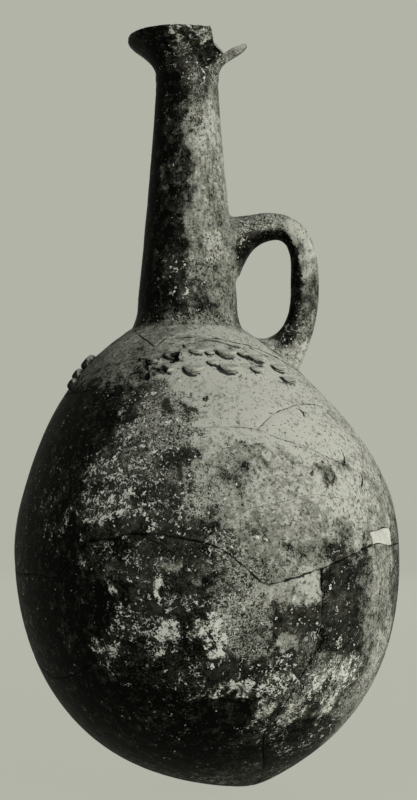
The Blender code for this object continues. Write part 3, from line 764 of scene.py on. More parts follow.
# Each sherd with a point inside it and its slot
SHERDS: dict[str, tuple[tuple[float, float], Slot]] = {
    "shoulder_sherd_handle": ((20, 74), Slot.MID),
    "shoulder_sherd_left": ((-90, 58), Slot.MID),
    "shoulder_sherd_front": ((15, 55), Slot.PALE),
    "shoulder_sherd_right": ((50, 39), Slot.PALE),
    "shoulder_sherd_back": ((178, 58), Slot.MID),
    "belly_sherd_front": ((0, 24), Slot.MID),
    "belly_sherd_arch": ((25, 8), Slot.PALE),
    "belly_sherd_right": ((100, 20), Slot.PALE),
    "belly_sherd_left": ((-90, 22), Slot.DARK),
    "belly_sherd_back": ((178, 25), Slot.MID),
    "lower_sherd_front": ((0, -12), Slot.DARK),
    "lower_sherd_burnished": ((44, -10), Slot.DARK),
    "lower_sherd_right": ((100, -12), Slot.PALE),
    "lower_sherd_back": ((178, -15), Slot.DARK),
    "base_sherd_wedge": ((20, -29), Slot.MID),
    "base_sherd_left": ((-40, -50), Slot.DARK),
    "base_sherd_right": ((80, -50), Slot.MID),
    "base_sherd_back": ((178, -55), Slot.DARK),
    "belly_plaster_fill": ((60, 5.5), Slot.FILL),
}

# Relief scales and knobs: azimuth and latitude in degrees, then the radius in metres
RELIEF: dict[str, tuple[float, float, float]] = {
    "relief_scale_upper_1": (-26.4, 59.5, 0.0050),
    "relief_scale_upper_2": (-18.4, 62.2, 0.0056),
    "relief_scale_upper_3": (-5.6, 64.4, 0.0050),
    "relief_scale_upper_4": (1.9, 64.1, 0.0031),
    "relief_scale_upper_5": (12, 65.5, 0.0070),
    "relief_scale_upper_6": (22.3, 65.5, 0.0034),
    "relief_scale_upper_7": (31.2, 65, 0.0060),
    "relief_scale_lower_1": (-18.5, 56.6, 0.0048),
    "relief_scale_lower_2": (-6.1, 58, 0.0068),
    "relief_scale_lower_3": (2.8, 60.5, 0.0034),
    "relief_scale_lower_4": (11.5, 59.6, 0.0070),
    "relief_scale_lower_5": (26.9, 60, 0.0050),
    "relief_scale_lower_6": (44.4, 62.2, 0.0060),
    "relief_scale_lower_7": (45.4, 57.4, 0.0065),
    "relief_knob_left_1": (-79.5, 57.6, 0.0064),
    "relief_knob_left_2": (-77.5, 53.4, 0.0048),
    "relief_knob_left_3": (-72, 50.3, 0.0046),
}

# Outline of the piece broken from the mouth, as azimuth in degrees and height above the neck in metres
CHIP: list[tuple[float, float]] = [
    (19, 0.0360), (22.5, 0.0267), (26, 0.0226), (29.5, 0.0196), (35, 0.0173), (47.5, 0.0151), (66, 0.0136),
    (82, 0.0115), (92, 0.0105), (95, 0.0140), (92, 0.0190), (94, 0.0250), (93, 0.0360),
]

# Fine cracks and nicks that don't part a sherd: depth and half width in metres, then azimuth and latitude
HAIRLINES: list[tuple[float, float, list[tuple[float, float]]]] = [
    (0.0011, 0.00016, [(-11.5, -39.5), (-8, -42), (-4.9, -44)]),
    (0.0011, 0.00016, [(61.9, -77.4), (50, -73), (42.3, -70.2), (44, -67.1)]),
    (0.0009, 0.00016, [(32.8, 24.1), (35.5, 26.8), (39, 28.2), (42, 24), (39.5, 21.5), (35.7, 20.3)]),
    (0.0015, 0.00060, [(39.8, 45.7), (40.6, 44.6), (40.2, 43.5)]),
    (0.0018, 0.00080, [(59.2, 45), (60.2, 43.5), (60.7, 42.8)]),
    (0.0018, 0.00070, [(51, 31.1), (50.4, 29.2), (48.3, 27.3)]),
    (0.0020, 0.00080, [(56.2, 24.7), (55.7, 22.6), (53.5, 20.5)]),
    (0.0016, 0.00080, [(-4.5, 68.8), (0.9, 69.4), (6.2, 69.7), (11.1, 69.2), (16.6, 68.6), (22.4, 68.2)]),
    (0.0018, 0.00060, [(34.1, 69.3), (39.6, 68), (45.2, 66.5)]),
    (0.0012, 0.00045, [(24.1, 63.4), (29.2, 63.1), (34.3, 63.1)]),
    (0.0014, 0.00050, [(36.8, 55.9), (40.9, 55.4), (41.6, 54.3)]),
    (0.0012, 0.00040, [(-41, 45.6), (-38.9, 46.9), (-35.6, 46.9)]),
]

# A crack and a scratch on the neck: how dark each is, then its points in metres
NECK_MARKS: list[tuple[float, list[tuple[float, float, float]]]] = [
    (0.95, [(0.0208, -0.0052, 0.3314), (0.0218, -0.0036, 0.3270), (0.0236, -0.0016, 0.3222)]),
    (0.30, [(-0.0096, -0.0262, 0.4357), (0.0030, -0.0222, 0.4306), (0.0060, -0.0200, 0.4266)]),
]


# Finishes


def linear(code: str) -> tuple[float, float, float, float]:
    """Turn an sRGB hex colour into linear light.

    Args:
        code: The colour, with a hash in front.

    Returns:
        Red, green, blue and an alpha of 1.
    """
    parts = [int(code[place:place + 2], 16) / 255.0 for place in (1, 3, 5)]
    light = [part / 12.92 if part <= 0.04045 else ((part + 0.055) / 1.055) ** 2.4 for part in parts]
    return (light[0], light[1], light[2], 1.0)


def scale_of(size_mm: float) -> float:
    """Noise scale whose features are about a size in millimetres."""
    return 1.0 / (size_mm * MM)


def new_material(name: str) -> tuple[bpy.types.Material, bpy.types.NodeTree, Sequence]:
    """Make a material, and give also its tree and the inputs of its main shader."""
    material = bpy.data.materials.new(name)
    material.use_nodes = True
    return material, material.node_tree, material.node_tree.nodes["Principled BSDF"].inputs


@dataclass(frozen=True)
class ClayFinish:
    """Low-fired, slipped and burnished earthenware that has been buried and cleaned.

    The black slip is left in patches whose burnish has gone dull. Where the slip has gone, the clay
    shows matt and pale, and lime from the ground sits on it in specks and crusts.
    """

    name: str
    slip: str = "#070705"
    slip_worn: str = "#3e3d35"
    clay_deep: str = "#2e2e27"
    clay: str = "#838478"
    clay_pale: str = "#babbae"
    lime: str = "#e8e9dc"
    # Colour of the dark earth in cracks and of the painted shade with earth round the scales and knobs
    dirt: str = "#080705"
    filler: str = "#c4c5b8"
    specular: float = 0.02
    slip_roughness: float = 0.50
    clay_roughness: float = 0.80

    def material(self) -> bpy.types.Material:
        """Build the finish as a material that reads the painted attributes.

        Returns:
            The material.
        """
        material, tree, shader = new_material(self.name)
        add = partial(add_node, tree)
        shader["Specular IOR Level"].default_value = self.specular
        place = add("TexCoord", out="Object")
        upright = add("Mapping", {"Vector": place, "Scale": (1.0, 1.0, 0.07)})

        def grain(size_mm: float, detail: float = 3.0, rough: float = 0.6,
                  vector: bpy.types.NodeSocket = place) -> bpy.types.NodeSocket:
            """Cloudy noise about zero with features of a size in millimetres."""
            noise = add("TexNoise", {
                "Vector": vector, "Scale": scale_of(size_mm), "Detail": detail, "Roughness": rough,
            })
            return add("Math SUBTRACT", noise, 0.5)

        def sums(*values: object) -> bpy.types.NodeSocket:
            """Sum of weighted values, given as value, weight, value, weight and so on."""
            total = 0.0
            for value, weight in zip(values[::2], values[1::2]):
                total = add("Math MULTIPLY_ADD", value, weight, total)
            return total

        dark, pale, crust, streak, dirt, filler = (
            add("Attribute", out="Fac", attribute_name=name)
            for name in ("dark", "pale", "crust", "streak", "dirt", "filler")
        )
        # Burnishing left strokes 1.5 mm wide and a few centimetres long
        strokes = add("Math MULTIPLY", grain(1.5, 4.0, 0.6, upright), streak)
        # The skin has come away in crooked plates of about 4 mm
        crooked = add("TexNoise", {"Vector": place, "Scale": scale_of(5.0), "Detail": 3.0}, out="Color")
        bent = add("VectorMath MULTIPLY_ADD", crooked, (0.006, 0.006, 0.006), place)
        plates = add("TexVoronoi", {"Vector": bent, "Scale": scale_of(4.5)}, out="Color")
        plates = add("Math SUBTRACT", plates, 0.5)
        # Buried ground has left some areas granular, in grains of 3 mm and 1.5 mm
        granular = add("MapRange", crust, 0.08, 0.34, **EASED)
        fine = sums(grain(3.0, 3.0, 0.62), 0.70, grain(1.4, 2.0), 0.95)
        gritty = add("Math MULTIPLY", fine, granular)
        # Slip clings in patches of about 13 mm whose ragged edges break up into flecks
        patchy = sums(grain(13.0, 5.0, 0.62), 1.7, grain(5.0, 4.0, 0.65), 2.2, fine, 2.0, gritty, 6.4, plates, 0.45,
                      strokes, 2.2)
        soft = add("Math MULTIPLY_ADD", streak, 0.40, 0.06)
        middle = add("Math MULTIPLY_ADD", dark, -1.8, 0.90)
        left = add("MapRange", patchy, add("Math SUBTRACT", middle, soft), add("Math ADD", middle, soft), **EASED)
        # Worn clay varies in 22 mm clouds, 6 mm stains, 4 mm plates and grain
        cloud = sums(grain(22.0, 4.0), 0.8, grain(6.0, 3.0), 0.9, fine, 1.1, gritty, 7.2, plates, 0.22,
                     strokes, 1.8)
        tone = sums(cloud, 1.0, pale, 1.0)
        share = add("MapRange", tone, 0.0, 0.5, **EASED)
        worn = add("Mix", {0: share, 6: linear(self.clay_deep), 7: linear(self.clay)}, **COLOURS)
        share = add("MapRange", tone, 0.45, 1.0, **EASED)
        worn = add("Mix", {0: share, 6: worn, 7: linear(self.clay_pale)}, **COLOURS)
        # Grit of 2 mm shows as darker specks, fewer where the clay is pale
        grit = add("MapRange", sums(grain(2.2, 2.0, 0.6), 1.0, pale, -0.10), 0.01, 0.07, **EASED)
        worn = add("Mix", {0: add("Math MULTIPLY", grit, 0.75), 6: worn, 7: linear(self.clay_deep)}, **COLOURS)
        share = add("MapRange", sums(cloud, 1.0, plates, 0.7), 0.0, 0.88, **EASED)
        slip = add("Mix", {0: share, 6: linear(self.slip), 7: linear(self.slip_worn)}, **COLOURS)
        skin = add("Mix", {0: left, 6: worn, 7: slip}, **COLOURS)
        # Lime sits in 5 mm crusts made of grains, and as crooked threads 1 mm wide
        limed = add("MapRange", sums(grain(5.0, 6.0, 0.75), 4.6, fine, 2.0, crust, 1.6), 1.00, 1.12, **EASED)
        limed = add("Math MULTIPLY", limed, add("MapRange", grain(2.0, 3.0, 0.7), -0.10, -0.02, **EASED))
        thread = add("TexNoise", {"Vector": bent, "Scale": scale_of(4.2), "Detail": 1.5})
        thread = add("Math ABSOLUTE", add("Math SUBTRACT", thread, 0.5))
        thread = add("MapRange", thread, 0.030, 0.008, **EASED)
        thread = add("Math MULTIPLY", thread, add("MapRange", grain(3.6, 2.0), -0.07, 0.02, **EASED))
        share = add("MapRange", sums(grain(16.0, 3.0), 2.6, crust, 1.6), 0.52, 0.78, **EASED)
        threads = add("Math MULTIPLY", thread, share)
        limed = add("Math MAXIMUM", limed, add("Math MULTIPLY", threads, 0.85))
        skin = add("Mix", {0: add("Math MULTIPLY", limed, 0.95), 6: skin, 7: linear(self.lime)}, **COLOURS)
        # Dark earth in the cracks, and painted shade with earth under the scales and round the knobs, laid over the
        # skin
        earth_and_shade = add("MapRange", sums(dirt, 1.0, fine, 1.2), 0.30, 0.62, **EASED)
        skin = add("Mix", {0: add("Math MULTIPLY", earth_and_shade, 0.92), 6: skin, 7: linear(self.dirt)}, **COLOURS)
        filler = add("Math MULTIPLY", add("MapRange", sums(filler, 1.0, fine, 1.4), 0.28, 0.70, **EASED), 0.75)
        skin = add("Mix", {0: filler, 6: skin, 7: linear(self.filler)}, **COLOURS)
        tree.links.new(skin, shader["Base Color"])
        matt = add("Math MAXIMUM", add("Math SUBTRACT", 1.0, left), limed)
        rough = add("MapRange", {"Value": matt, "To Min": self.slip_roughness, "To Max": self.clay_roughness})
        tree.links.new(rough, shader["Roughness"])
        relief = sums(limed, 0.45, left, 0.20, grain(0.9, 3.0), 0.8, grain(6.0, 3.0), 1.0, strokes, 0.8)
        bump = add("Bump", {"Strength": 0.6, "Distance": 0.0006, "Height": relief})
        tree.links.new(bump, shader["Normal"])
        return material


@dataclass(frozen=True)
class PlainFinish:
    """A plain earthen or plaster surface: one colour with a cloudy variation, grain and small pits."""

    name: str
    deep: str
    pale: str
    grain_mm: float
    roughness: float
    bump: float

    def material(self) -> bpy.types.Material:
        """Build the finish as a material.

        Returns:
            The material.
        """
        material, tree, shader = new_material(self.name)
        add = partial(add_node, tree)
        place = add("TexCoord", out="Object")
        cloud = add("TexNoise", {
            "Vector": place, "Scale": scale_of(6.0 * self.grain_mm), "Detail": 6.0, "Roughness": 0.68,
        })
        grains = add("TexVoronoi", {"Vector": place, "Scale": scale_of(self.grain_mm)})
        tone = add("Math MULTIPLY_ADD", grains, 0.35, cloud)
        share = add("MapRange", {"Value": tone, "From Min": 0.42, "From Max": 0.88})
        colour = add("Mix", {0: share, 6: linear(self.deep), 7: linear(self.pale)}, **COLOURS)
        tree.links.new(colour, shader["Base Color"])
        shader["Roughness"].default_value = self.roughness
        bump = add("Bump", {"Strength": self.bump, "Distance": 0.0008, "Height": tone})
        tree.links.new(bump, shader["Normal"])
        return material


# Fired clay as a fresh break shows it: porous, matt and gritty with pale lime and dark grit
BROKEN_CLAY = PlainFinish("broken_earthenware", "#33312a", "#b4b4a6", 0.9, 0.92, 0.8)
# Gypsum plaster of a repair: chalk white, matt, with fine trowel grain
REPAIR_PLASTER = PlainFinish("gypsum_plaster_fill", "#a9a99c", "#cccdc0", 1.1, 0.88, 0.35)
CLAYS = {
    Slot.DARK: ClayFinish("dark_burnished_earthenware"),
    Slot.MID: ClayFinish("mid_worn_earthenware"),
    Slot.PALE: ClayFinish("pale_worn_earthenware"),
}


@dataclass
class Studio:
    """The made materials and trees, and what each finished piece is given."""

    materials: dict[Slot, bpy.types.Material] = field(default_factory=dict)
    broken: bpy.types.Material | None = None
    turning: bpy.types.NodeTree | None = None
    weathering: bpy.types.NodeTree | None = None
    pressing: bpy.types.NodeTree | None = None

    def prepare(self) -> None:
        """Make every material and tree once."""
        self.materials = {slot: finish.material() for slot, finish in CLAYS.items()}
        self.materials[Slot.FILL] = REPAIR_PLASTER.material()
        self.broken = BROKEN_CLAY.material()
        self.turning = turned_tree()
        self.weathering = weathering_tree()
        self.pressing = scale_tree()

    def turned(self, name: str, section: np.ndarray, steps: int) -> bpy.types.Object:
        """Turn a section into a mesh of rings.

        Args:
            name: The object's name.
            section: Radius, sideways shift and height of each point of the section.
            steps: Number of steps round the axis.

        Returns:
            The turned object.
        """
        obj = linked(name, mesh_from(name, section))
        return outward(run_tree(obj, self.turning, {"Steps": steps, "Points": len(section)}))

    def finish(self, obj: bpy.types.Object, node: str, slot: Slot) -> None:
        """Smooth a finished piece, hang it under the root body and hide the node of the model that it stands for.

        Args:
            obj: The piece.
            node: The node of the model that it replaces.
            slot: The record's material slot, which is not used here.
        """
        obj.data.shade_smooth()
        obj.data.set_sharp_from_angle(angle=math.radians(42.0))
        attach(obj, "root")
        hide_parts(node)
        LOG.info("%s: %d faces", obj.name, len(obj.data.polygons))

    def weather(self, obj: bpy.types.Object, node: str, slot: Slot, painted: dict[str, np.ndarray | float],
                wear: dict[str, float]) -> None:
        """Wear a painted piece of clay and hand it over.

        Args:
            obj: The piece.
            node: The node of the model that it replaces.
            slot: The record's material slot.
            painted: Where it is exposed, rough and broken, and which way is inward.
            wear: Inputs of the weathering tree.
        """
        for name, values in painted.items():
            paint(obj.data, name, values)
        run_tree(obj, self.weathering, {**wear, "Skin": self.materials[slot], "Break": self.broken})
        self.finish(obj, node, slot)

    def cover(self, obj: bpy.types.Object, node: str, slot: Slot) -> None:
        """Give an unweathered piece its clay and hand it over."""
        obj.data.materials.clear()
        obj.data.materials.append(self.materials[slot])
        self.finish(obj, node, slot)


@dataclass(frozen=True)
class Hollow:
    """Painted shade, with dark earth, in and beside one scale or knob: under a scale's lower-left edge and round a
    knob.

    Attributes:
        place: The lump's middle.
        downhill: Direction down the shoulder.
        across: Direction along the shoulder, to the left as seen from the front.
        outwards: Direction out of the shoulder.
        radius: The lump's radius.
        knob: Whether it is a knob, whose middle is darkened towards its raised, downhill side.
        rim: Where the painted shade and earth round the lump are darkest, as a share of its radius.
        rim_width: Width of that dark ring, in the same measure.
        knob_rim_width: Width of the ring round a knob.
    """

    place: np.ndarray
    downhill: np.ndarray
    across: np.ndarray
    outwards: np.ndarray
    radius: float
    knob: bool
    rim: float = 1.05
    rim_width: float = 0.16
    knob_rim_width: float = 0.15

    def dirt(self, points: np.ndarray) -> np.ndarray:
        """Amount of painted shade and dark earth at each point.

        Args:
            points: Points of the skin.

        Returns:
            Amounts from 0 to a little over 1.
        """
        local = (points - self.place) / self.radius
        down, left = local @ self.downhill, local @ self.across
        out = np.maximum(np.hypot(down, left), 1e-6)
        if self.knob:
            # Painted contact shadow in a ring round the knob, and a darker middle on its raised, downhill side
            below = 0.7 * np.exp(-((out - self.rim) / self.knob_rim_width) ** 2)
            middle = smoothstep(0.7 * (local @ self.outwards) + 0.6 * down, 0.20, 0.50)
            return np.maximum(below, middle * (out < 1.1))
        # Painted shadow with some earth: a ragged dark crescent round the scale's lower-left edge, the side turned
        # from the key lamp
        lower = smoothstep((0.88 * down + 0.47 * left) / out, -0.04, 0.60)
        uneven = np.clip(ragged(points)[:, 2] / 0.004, -1.0, 1.0)
        rim = np.exp(-((out - self.rim - 0.07 * uneven) / (self.rim_width + 0.06 * uneven)) ** 2)
        return (0.98 + 0.25 * uneven) * rim * lower


def hollow_shade_and_dirt(points: np.ndarray, hollows: Sequence[Hollow]) -> np.ndarray:
    """Painted shade and dark earth at each point, from every scale and knob.

    Args:
        points: Points of the skin.
        hollows: The painted shade and earth of each scale or knob.

    Returns:
        An amount for each point.
    """
    total = np.zeros(len(points))
    for hollow in hollows:
        near = np.nonzero(np.linalg.norm(points - hollow.place, axis=1) < 2.0 * hollow.radius)[0]
        total[near] = np.maximum(total[near], hollow.dirt(points[near]))
    return total


@dataclass
class BodyWall:
    """The body's wall, parted into sherds along its break lines."""

    form: BodyForm = FORM
    steps: int = 600
    upper_rows: int = 130
    lower_rows: int = 190
    hollow_upper_rows: int = 24
    hollow_lower_rows: int = 30
    tenon_radius: float = 0.0083
    line_step: float = 0.013
    wander: float = 0.0030
    open_reach: float = 0.1500
    skin_margin: float = 0.00008
    chip_depth: float = 0.00045
    chip_reach: float = 0.00060
    seat_fade: float = 0.0060
    # How far earth reaches from a break, and how far the worn skin flakes beside it
    seam_core: float = 0.0001
    seam_search: float = 0.0040
    seam_breaks: float = 0.0060
    flake_near: float = 0.0004
    flake_far: float = 0.0025
    # The broken edge of the wall starts and ends this far from its two skins
    break_outer: float = 0.0002
    break_inner: float = 0.0006

    def shell(self, studio: Studio) -> bpy.types.Object:
        """Turn the whole wall as one closed shell."""
        outer = self.form.section(self.form.outer(self.upper_rows, self.lower_rows))
        inner = self.form.section(self.form.inner(self.hollow_upper_rows, self.hollow_lower_rows))
        return studio.turned("body_wall", np.concatenate([inner[::-1], outer]), self.steps)

    def line_strip(self, line: Sequence[tuple[float, float]], seam: Seam, seed: int) -> Strip:
        """The thin wall that parts the body along one break line.

        Args:
            line: Points of azimuth and latitude.
            seam: How the break shows, which gives its width.
            seed: Seed of the line's wandering.

        Returns:
            The strip, reaching from inside the hollow to outside the skin.
        """
        rays = smooth_rays(line, self.line_step, self.wander, seed)
        count = len(rays)
        rng = np.random.default_rng(seed + 100)
        phase = rng.uniform(0.0, math.tau, 2)
        place = np.linspace(0.0, 1.0, count) * count * self.line_step
        wide = 1.0 + 0.25 * np.sin(40.0 * place + phase[0]) + 0.2 * np.sin(95.0 * place + phase[1])
        reach = max(self.form.belly_height, self.form.height - self.form.belly_height)
        near = np.full(count, 0.74 * self.form.belly_radius)
        return Strip(rays, near, np.full(count, 1.3 * reach), 0.5 * seam.value.width * wide)

    def fine_rays(self, line: Sequence[tuple[float, float]]) -> np.ndarray:
        """Directions along a fine crack."""
        return smooth_rays(line, 0.4 * self.line_step, 0.5 * self.wander, len(line))

    def lines(self, skin: BVHTree) -> dict[Seam, list[np.ndarray]]:
        """The break lines and fine cracks on the skin, by how they show.

        Args:
            skin: The body's outer skin.

        Returns:
            Polylines in space.
        """
        drawn = [(seam, smooth_rays(line, self.line_step, self.wander, seed))
                 for seed, (seam, line) in enumerate(BREAKS.values())]
        drawn += [(Seam.NICK, self.fine_rays(line)) for _, _, line in HAIRLINES]
        found: dict[Seam, list[np.ndarray]] = {seam: [] for seam in Seam}
        for seam, rays in drawn:
            reach = np.array([skin.ray_cast(self.form.centre, Vector(ray))[3] or self.open_reach for ray in rays])
            found[seam].append(rays * reach[:, None] + np.array(self.form.centre))
        return found

    def groove(self, line: Sequence[tuple[float, float]], depth: float, half: float, skin: BVHTree) -> Strip:
        """A tapering groove along a fine crack that doesn't part the wall.

        Args:
            line: Points of azimuth and latitude.
            depth: Depth of the groove.
            half: Half its width.
            skin: The body's outer skin.

        Returns:
            The strip that cuts it.
        """
        rays = self.fine_rays(line)
        centre = self.form.centre
        reach = np.array([skin.ray_cast(centre, Vector(ray))[3] for ray in rays])
        taper = np.sin(math.pi * np.linspace(0.06, 0.94, len(rays))) ** 0.5
        return Strip(rays, reach - depth * taper, reach + 0.004, half * taper)

    def sherds(self, studio: Studio, foot: "HandleFoot", skin: BVHTree) -> dict[str, bpy.types.Object]:
        """Part the wall along its break lines.

        Args:
            studio: The made trees and materials.
            foot: Where the handle enters the shoulder.
            skin: The body's outer skin.

        Returns:
            The sherds by the name of the node that each stands for.
        """
        wall = self.shell(studio)
        seams = [
            self.line_strip(line, seam, seed).build("seam_" + name, self.form.centre)
            for seed, (name, (seam, line)) in enumerate(BREAKS.items())
        ]
        seams += [
            self.groove(line, depth, half, skin).build("hairline", self.form.centre)
            for depth, half, line in HAIRLINES
        ]
        seams.append(self.form.opening(0.0, 240))
        seams.append(bar("tenon_hole", self.tenon_radius, foot.outside, foot.inside, 72))
        cut_all(wall, seams)
        islands = parted(wall)
        graph = bpy.context.evaluated_depsgraph_get()
        trees = [BVHTree.FromObject(island, graph) for island in islands]
        pieces = {}
        for node, (marker, _) in SHERDS.items():
            reach = [tree.ray_cast(self.form.centre, Vector(direction(*marker)))[3] for tree in trees]
            found = next(index for index, distance in enumerate(reach) if distance is not None)
            pieces[node] = islands[found]
            pieces[node].name = "fired_" + node
        return pieces

    def dress(self, studio: Studio, pieces: dict[str, bpy.types.Object], skin: BVHTree,
              hollows: Sequence[Hollow], seats: Sequence[tuple[Sequence[float], float]]) -> None:
        """Paint, weather and hand over every sherd.

        Args:
            studio: The made trees and materials.
            pieces: The sherds by node.
            skin: The body's outer skin.
            hollows: Where shade is painted, with dark earth, round the relief.
            seats: Centres and radii of the places where other clay is laid on the wall.
        """
        lines = self.lines(skin)
        for seed, (node, piece) in enumerate(pieces.items()):
            points = coordinates(piece.data)
            outside = self.form.skin_depth(points)
            near_skin = outside < self.skin_margin
            gaps = {seam: distance_to_lines(points, group, self.seam_search) for seam, group in lines.items()}
            gap = np.min(list(gaps.values()), axis=0)
            # Painted shade with dark earth round the scales and knobs, then dark earth along the break lines
            dirt = hollow_shade_and_dirt(points, hollows)
            filler = np.zeros(len(points))
            broken_up = np.clip(0.75 + ragged(points)[:, 0] / self.seam_breaks, 0.25, 1.0)
            for seam, away in gaps.items():
                reach = broken_up * (1.0 - smoothstep(away, self.seam_core, seam.value.reach))
                dirt = np.maximum(dirt, seam.value.dirt * reach)
                filler = np.maximum(filler, seam.value.filler * reach)
            layers = layers_for(points, BODY_BASE, BODY_SKIN, self.form.outwards(points))
            paint_layers(piece.data, layers, near_skin, dirt, filler)
            rng = np.random.default_rng(seed)
            exposed = near_skin.astype(float)
            for centre, radius in seats:
                away = np.linalg.norm(points - np.array(centre), axis=1)
                exposed *= smoothstep(away, radius, radius + self.seat_fade)
            chips = rng.uniform(0.0, 1.0, len(points)) ** 3 * self.chip_depth * (gap < self.chip_reach) * near_skin
            inward = -self.form.outwards(points)
            move_vertices(piece.data, points + inward * chips[:, None])
            broken = (outside > self.break_outer) & (outside < self.form.wall - self.break_inner)
            flaking = 0.25 + 0.75 * smoothstep(-gap, -self.flake_far, -self.flake_near)
            studio.weather(piece, node, SHERDS[node][1], {
                "exposed": exposed, "rough": flaking, "broken": broken, "inward": inward,
            }, {"Seed": 1.0})


@dataclass(frozen=True)
class HandleFoot:
    """The way in which the handle's tenon goes through the shoulder."""

    place: Vector
    normal: Vector
    slope: float
    embed: float = 0.0120
    reach: float = 0.0070
    wall: float = FORM.wall

    @property
    def inward(self) -> Vector:
        """Direction in which the tenon enters."""
        return Vector((-math.cos(self.slope), 0.0, -math.sin(self.slope)))

    @property
    def inner_place(self) -> Vector:
        """Where the tenon leaves the shoulder's inner side."""
        return self.place + self.inward * (self.wall / self.inward.dot(-self.normal))

    @property
    def outside(self) -> Vector:
        """A point on the tenon's axis inside the handle."""
        return self.place - self.inward * self.embed

    @property
    def inside(self) -> Vector:
        """A point on the tenon's axis well inside the hollow."""
        return self.inner_place + self.inward * 3.0 * self.reach

    @property
    def tip(self) -> Vector:
        """The end of the tenon."""
        return self.inner_place + self.inward * self.reach


def placed_solid(name: str, work: bmesh.types.BMesh, middle: Vector, axis: Vector,
                 size: Sequence[float] = (1.0, 1.0, 1.0)) -> bpy.types.Object:
    """Size an upright solid, turn it along an axis and put it in its place.

    Args:
        name: The object's name.
        work: The solid, which is freed.
        middle: Its place.
        axis: Direction that its upright axis is turned to.
        size: Its scale before it is turned.

    Returns:
        The object.
    """
    turn = Vector((0.0, 0.0, 1.0)).rotation_difference(axis).to_matrix().to_4x4()
    matrix = Matrix.Translation(middle) @ turn @ Matrix.Diagonal((*size, 1.0))
    bmesh.ops.transform(work, matrix=matrix, verts=work.verts)
    mesh = bpy.data.meshes.new(name)
    work.to_mesh(mesh)
    work.free()
    return linked(name, mesh)


def bar(name: str, radius: float, start: Sequence[float], end: Sequence[float], sides: int) -> bpy.types.Object:
    """A straight round bar between two points, used as a cutter or a tenon.

    Args:
        name: The object's name.
        radius: The bar's radius.
        start: One end.
        end: The other end.
        sides: Number of sides.

    Returns:
        The bar's object.
    """
    axis = Vector(end) - Vector(start)
    work = bmesh.new()
    bmesh.ops.create_cone(work, cap_ends=True, segments=sides, radius1=radius, radius2=radius, depth=axis.length)
    return placed_solid(name, work, (Vector(start) + Vector(end)) / 2.0, axis.normalized())


def cut_all(obj: bpy.types.Object, cutters: Sequence[bpy.types.Object]) -> None:
    """Cut several closed bodies out of one at once, and remove them.

    Args:
        obj: The body that is cut.
        cutters: The bodies that cut it.
    """
    group = bpy.data.collections.new("cutters")
    bpy.context.scene.collection.children.link(group)
    for cutter in cutters:
        group.objects.link(cutter)
    boolean = obj.modifiers.new("cuts", "BOOLEAN")
    boolean.solver = "MANIFOLD"
    boolean.operand_type = "COLLECTION"
    boolean.collection = group
    settle(obj)
    discard(*cutters)
    bpy.data.collections.remove(group)


def parted(obj: bpy.types.Object) -> list[bpy.types.Object]:
    """Part an object into one object for each separate body.

    Args:
        obj: The object.

    Returns:
        The bodies' objects, sorted by name.
    """
    for other in bpy.context.selected_objects:
        other.select_set(False)
    obj.select_set(True)
    bpy.context.view_layer.objects.active = obj
    bpy.ops.mesh.separate(type="LOOSE")
    return sorted(bpy.context.selected_objects, key=lambda piece: piece.name)


# Where the slip is left, where it has worn, and where lime sits


def ragged(points: np.ndarray) -> np.ndarray:
    """Small wandering shifts in space that make the edges of painted areas uneven.

    Args:
        points: Places where the shift is wanted.

    Returns:
        A shift for each point.
    """
    rng = np.random.default_rng(3)
    shift = np.zeros_like(points)
    waves = {
        34.0: 1.9, 27.0: 1.5, 21.0: 1.5, 17.0: 1.5, 13.0: 1.6, 10.0: 1.4, 8.0: 1.3, 6.5: 1.1, 5.2: 0.9, 4.2: 0.7,
    }
    for wave_mm, reach_mm in waves.items():
        heading = rng.normal(size=3)
        heading *= math.tau / (wave_mm * MM) / np.linalg.norm(heading)
        phase = rng.uniform(0.0, math.tau, 3)
        shift += reach_mm * MM * np.sin((points @ heading)[:, None] + phase)
    return shift


@dataclass(frozen=True)
class Patch:
    """A soft-edged area of the skin.

    Attributes:
        place: Its middle, as x, y and z in millimetres.
        size: Its half width and half height in millimetres.
        turn: How far it is turned anticlockwise as seen from outside, in degrees.
        dark: Share of the dark slip that is left.
        pale: Paleness of the worn clay.
        crust: Amount of lime.
        streak: Strength of the upright burnishing strokes.
        edge: Softness of its edge, as a share of its size.
    """

    place: tuple[float, float, float]
    size: tuple[float, float]
    turn: float
    dark: float
    pale: float
    crust: float
    streak: float = 0.0
    edge: float = 0.6

    def weight(self, points: np.ndarray, outward_at: np.ndarray) -> np.ndarray:
        """How fully the patch covers each point.

        Args:
            points: Points of the skin.
            outward_at: Outward directions there.

        Returns:
            Weights from 0 to 1.
        """
        middle = np.array(self.place) * MM
        local = points - middle
        far = max(self.size) * MM * 2.0
        weight = np.zeros(len(points))
        near = np.nonzero(np.linalg.norm(local, axis=1) < far * 1.6)[0]
        if len(near) == 0:
            return weight
        closest = near[np.argmin(np.linalg.norm(local[near], axis=1))]
        normal = outward_at[closest]
        east = np.cross((0.0, 0.0, 1.0), normal)
        east /= max(np.linalg.norm(east), 1e-9)
        up = np.cross(normal, east)
        turn = math.radians(self.turn)
        along = local[near] @ (east * math.cos(turn) + up * math.sin(turn)) / (self.size[0] * MM)
        across = local[near] @ (up * math.cos(turn) - east * math.sin(turn)) / (self.size[1] * MM)
        facing = outward_at[near] @ normal
        radius = np.hypot(along, across)
        weight[near] = (1.0 - smoothstep(radius, 1.0 - self.edge, 1.0 + self.edge)) * smoothstep(facing, -0.1, 0.3)
        return weight


@dataclass(frozen=True)
class Base:
    """What a skin shows where no patch covers it."""

    dark: float
    pale: float
    crust: float
    streak: float = 0.0


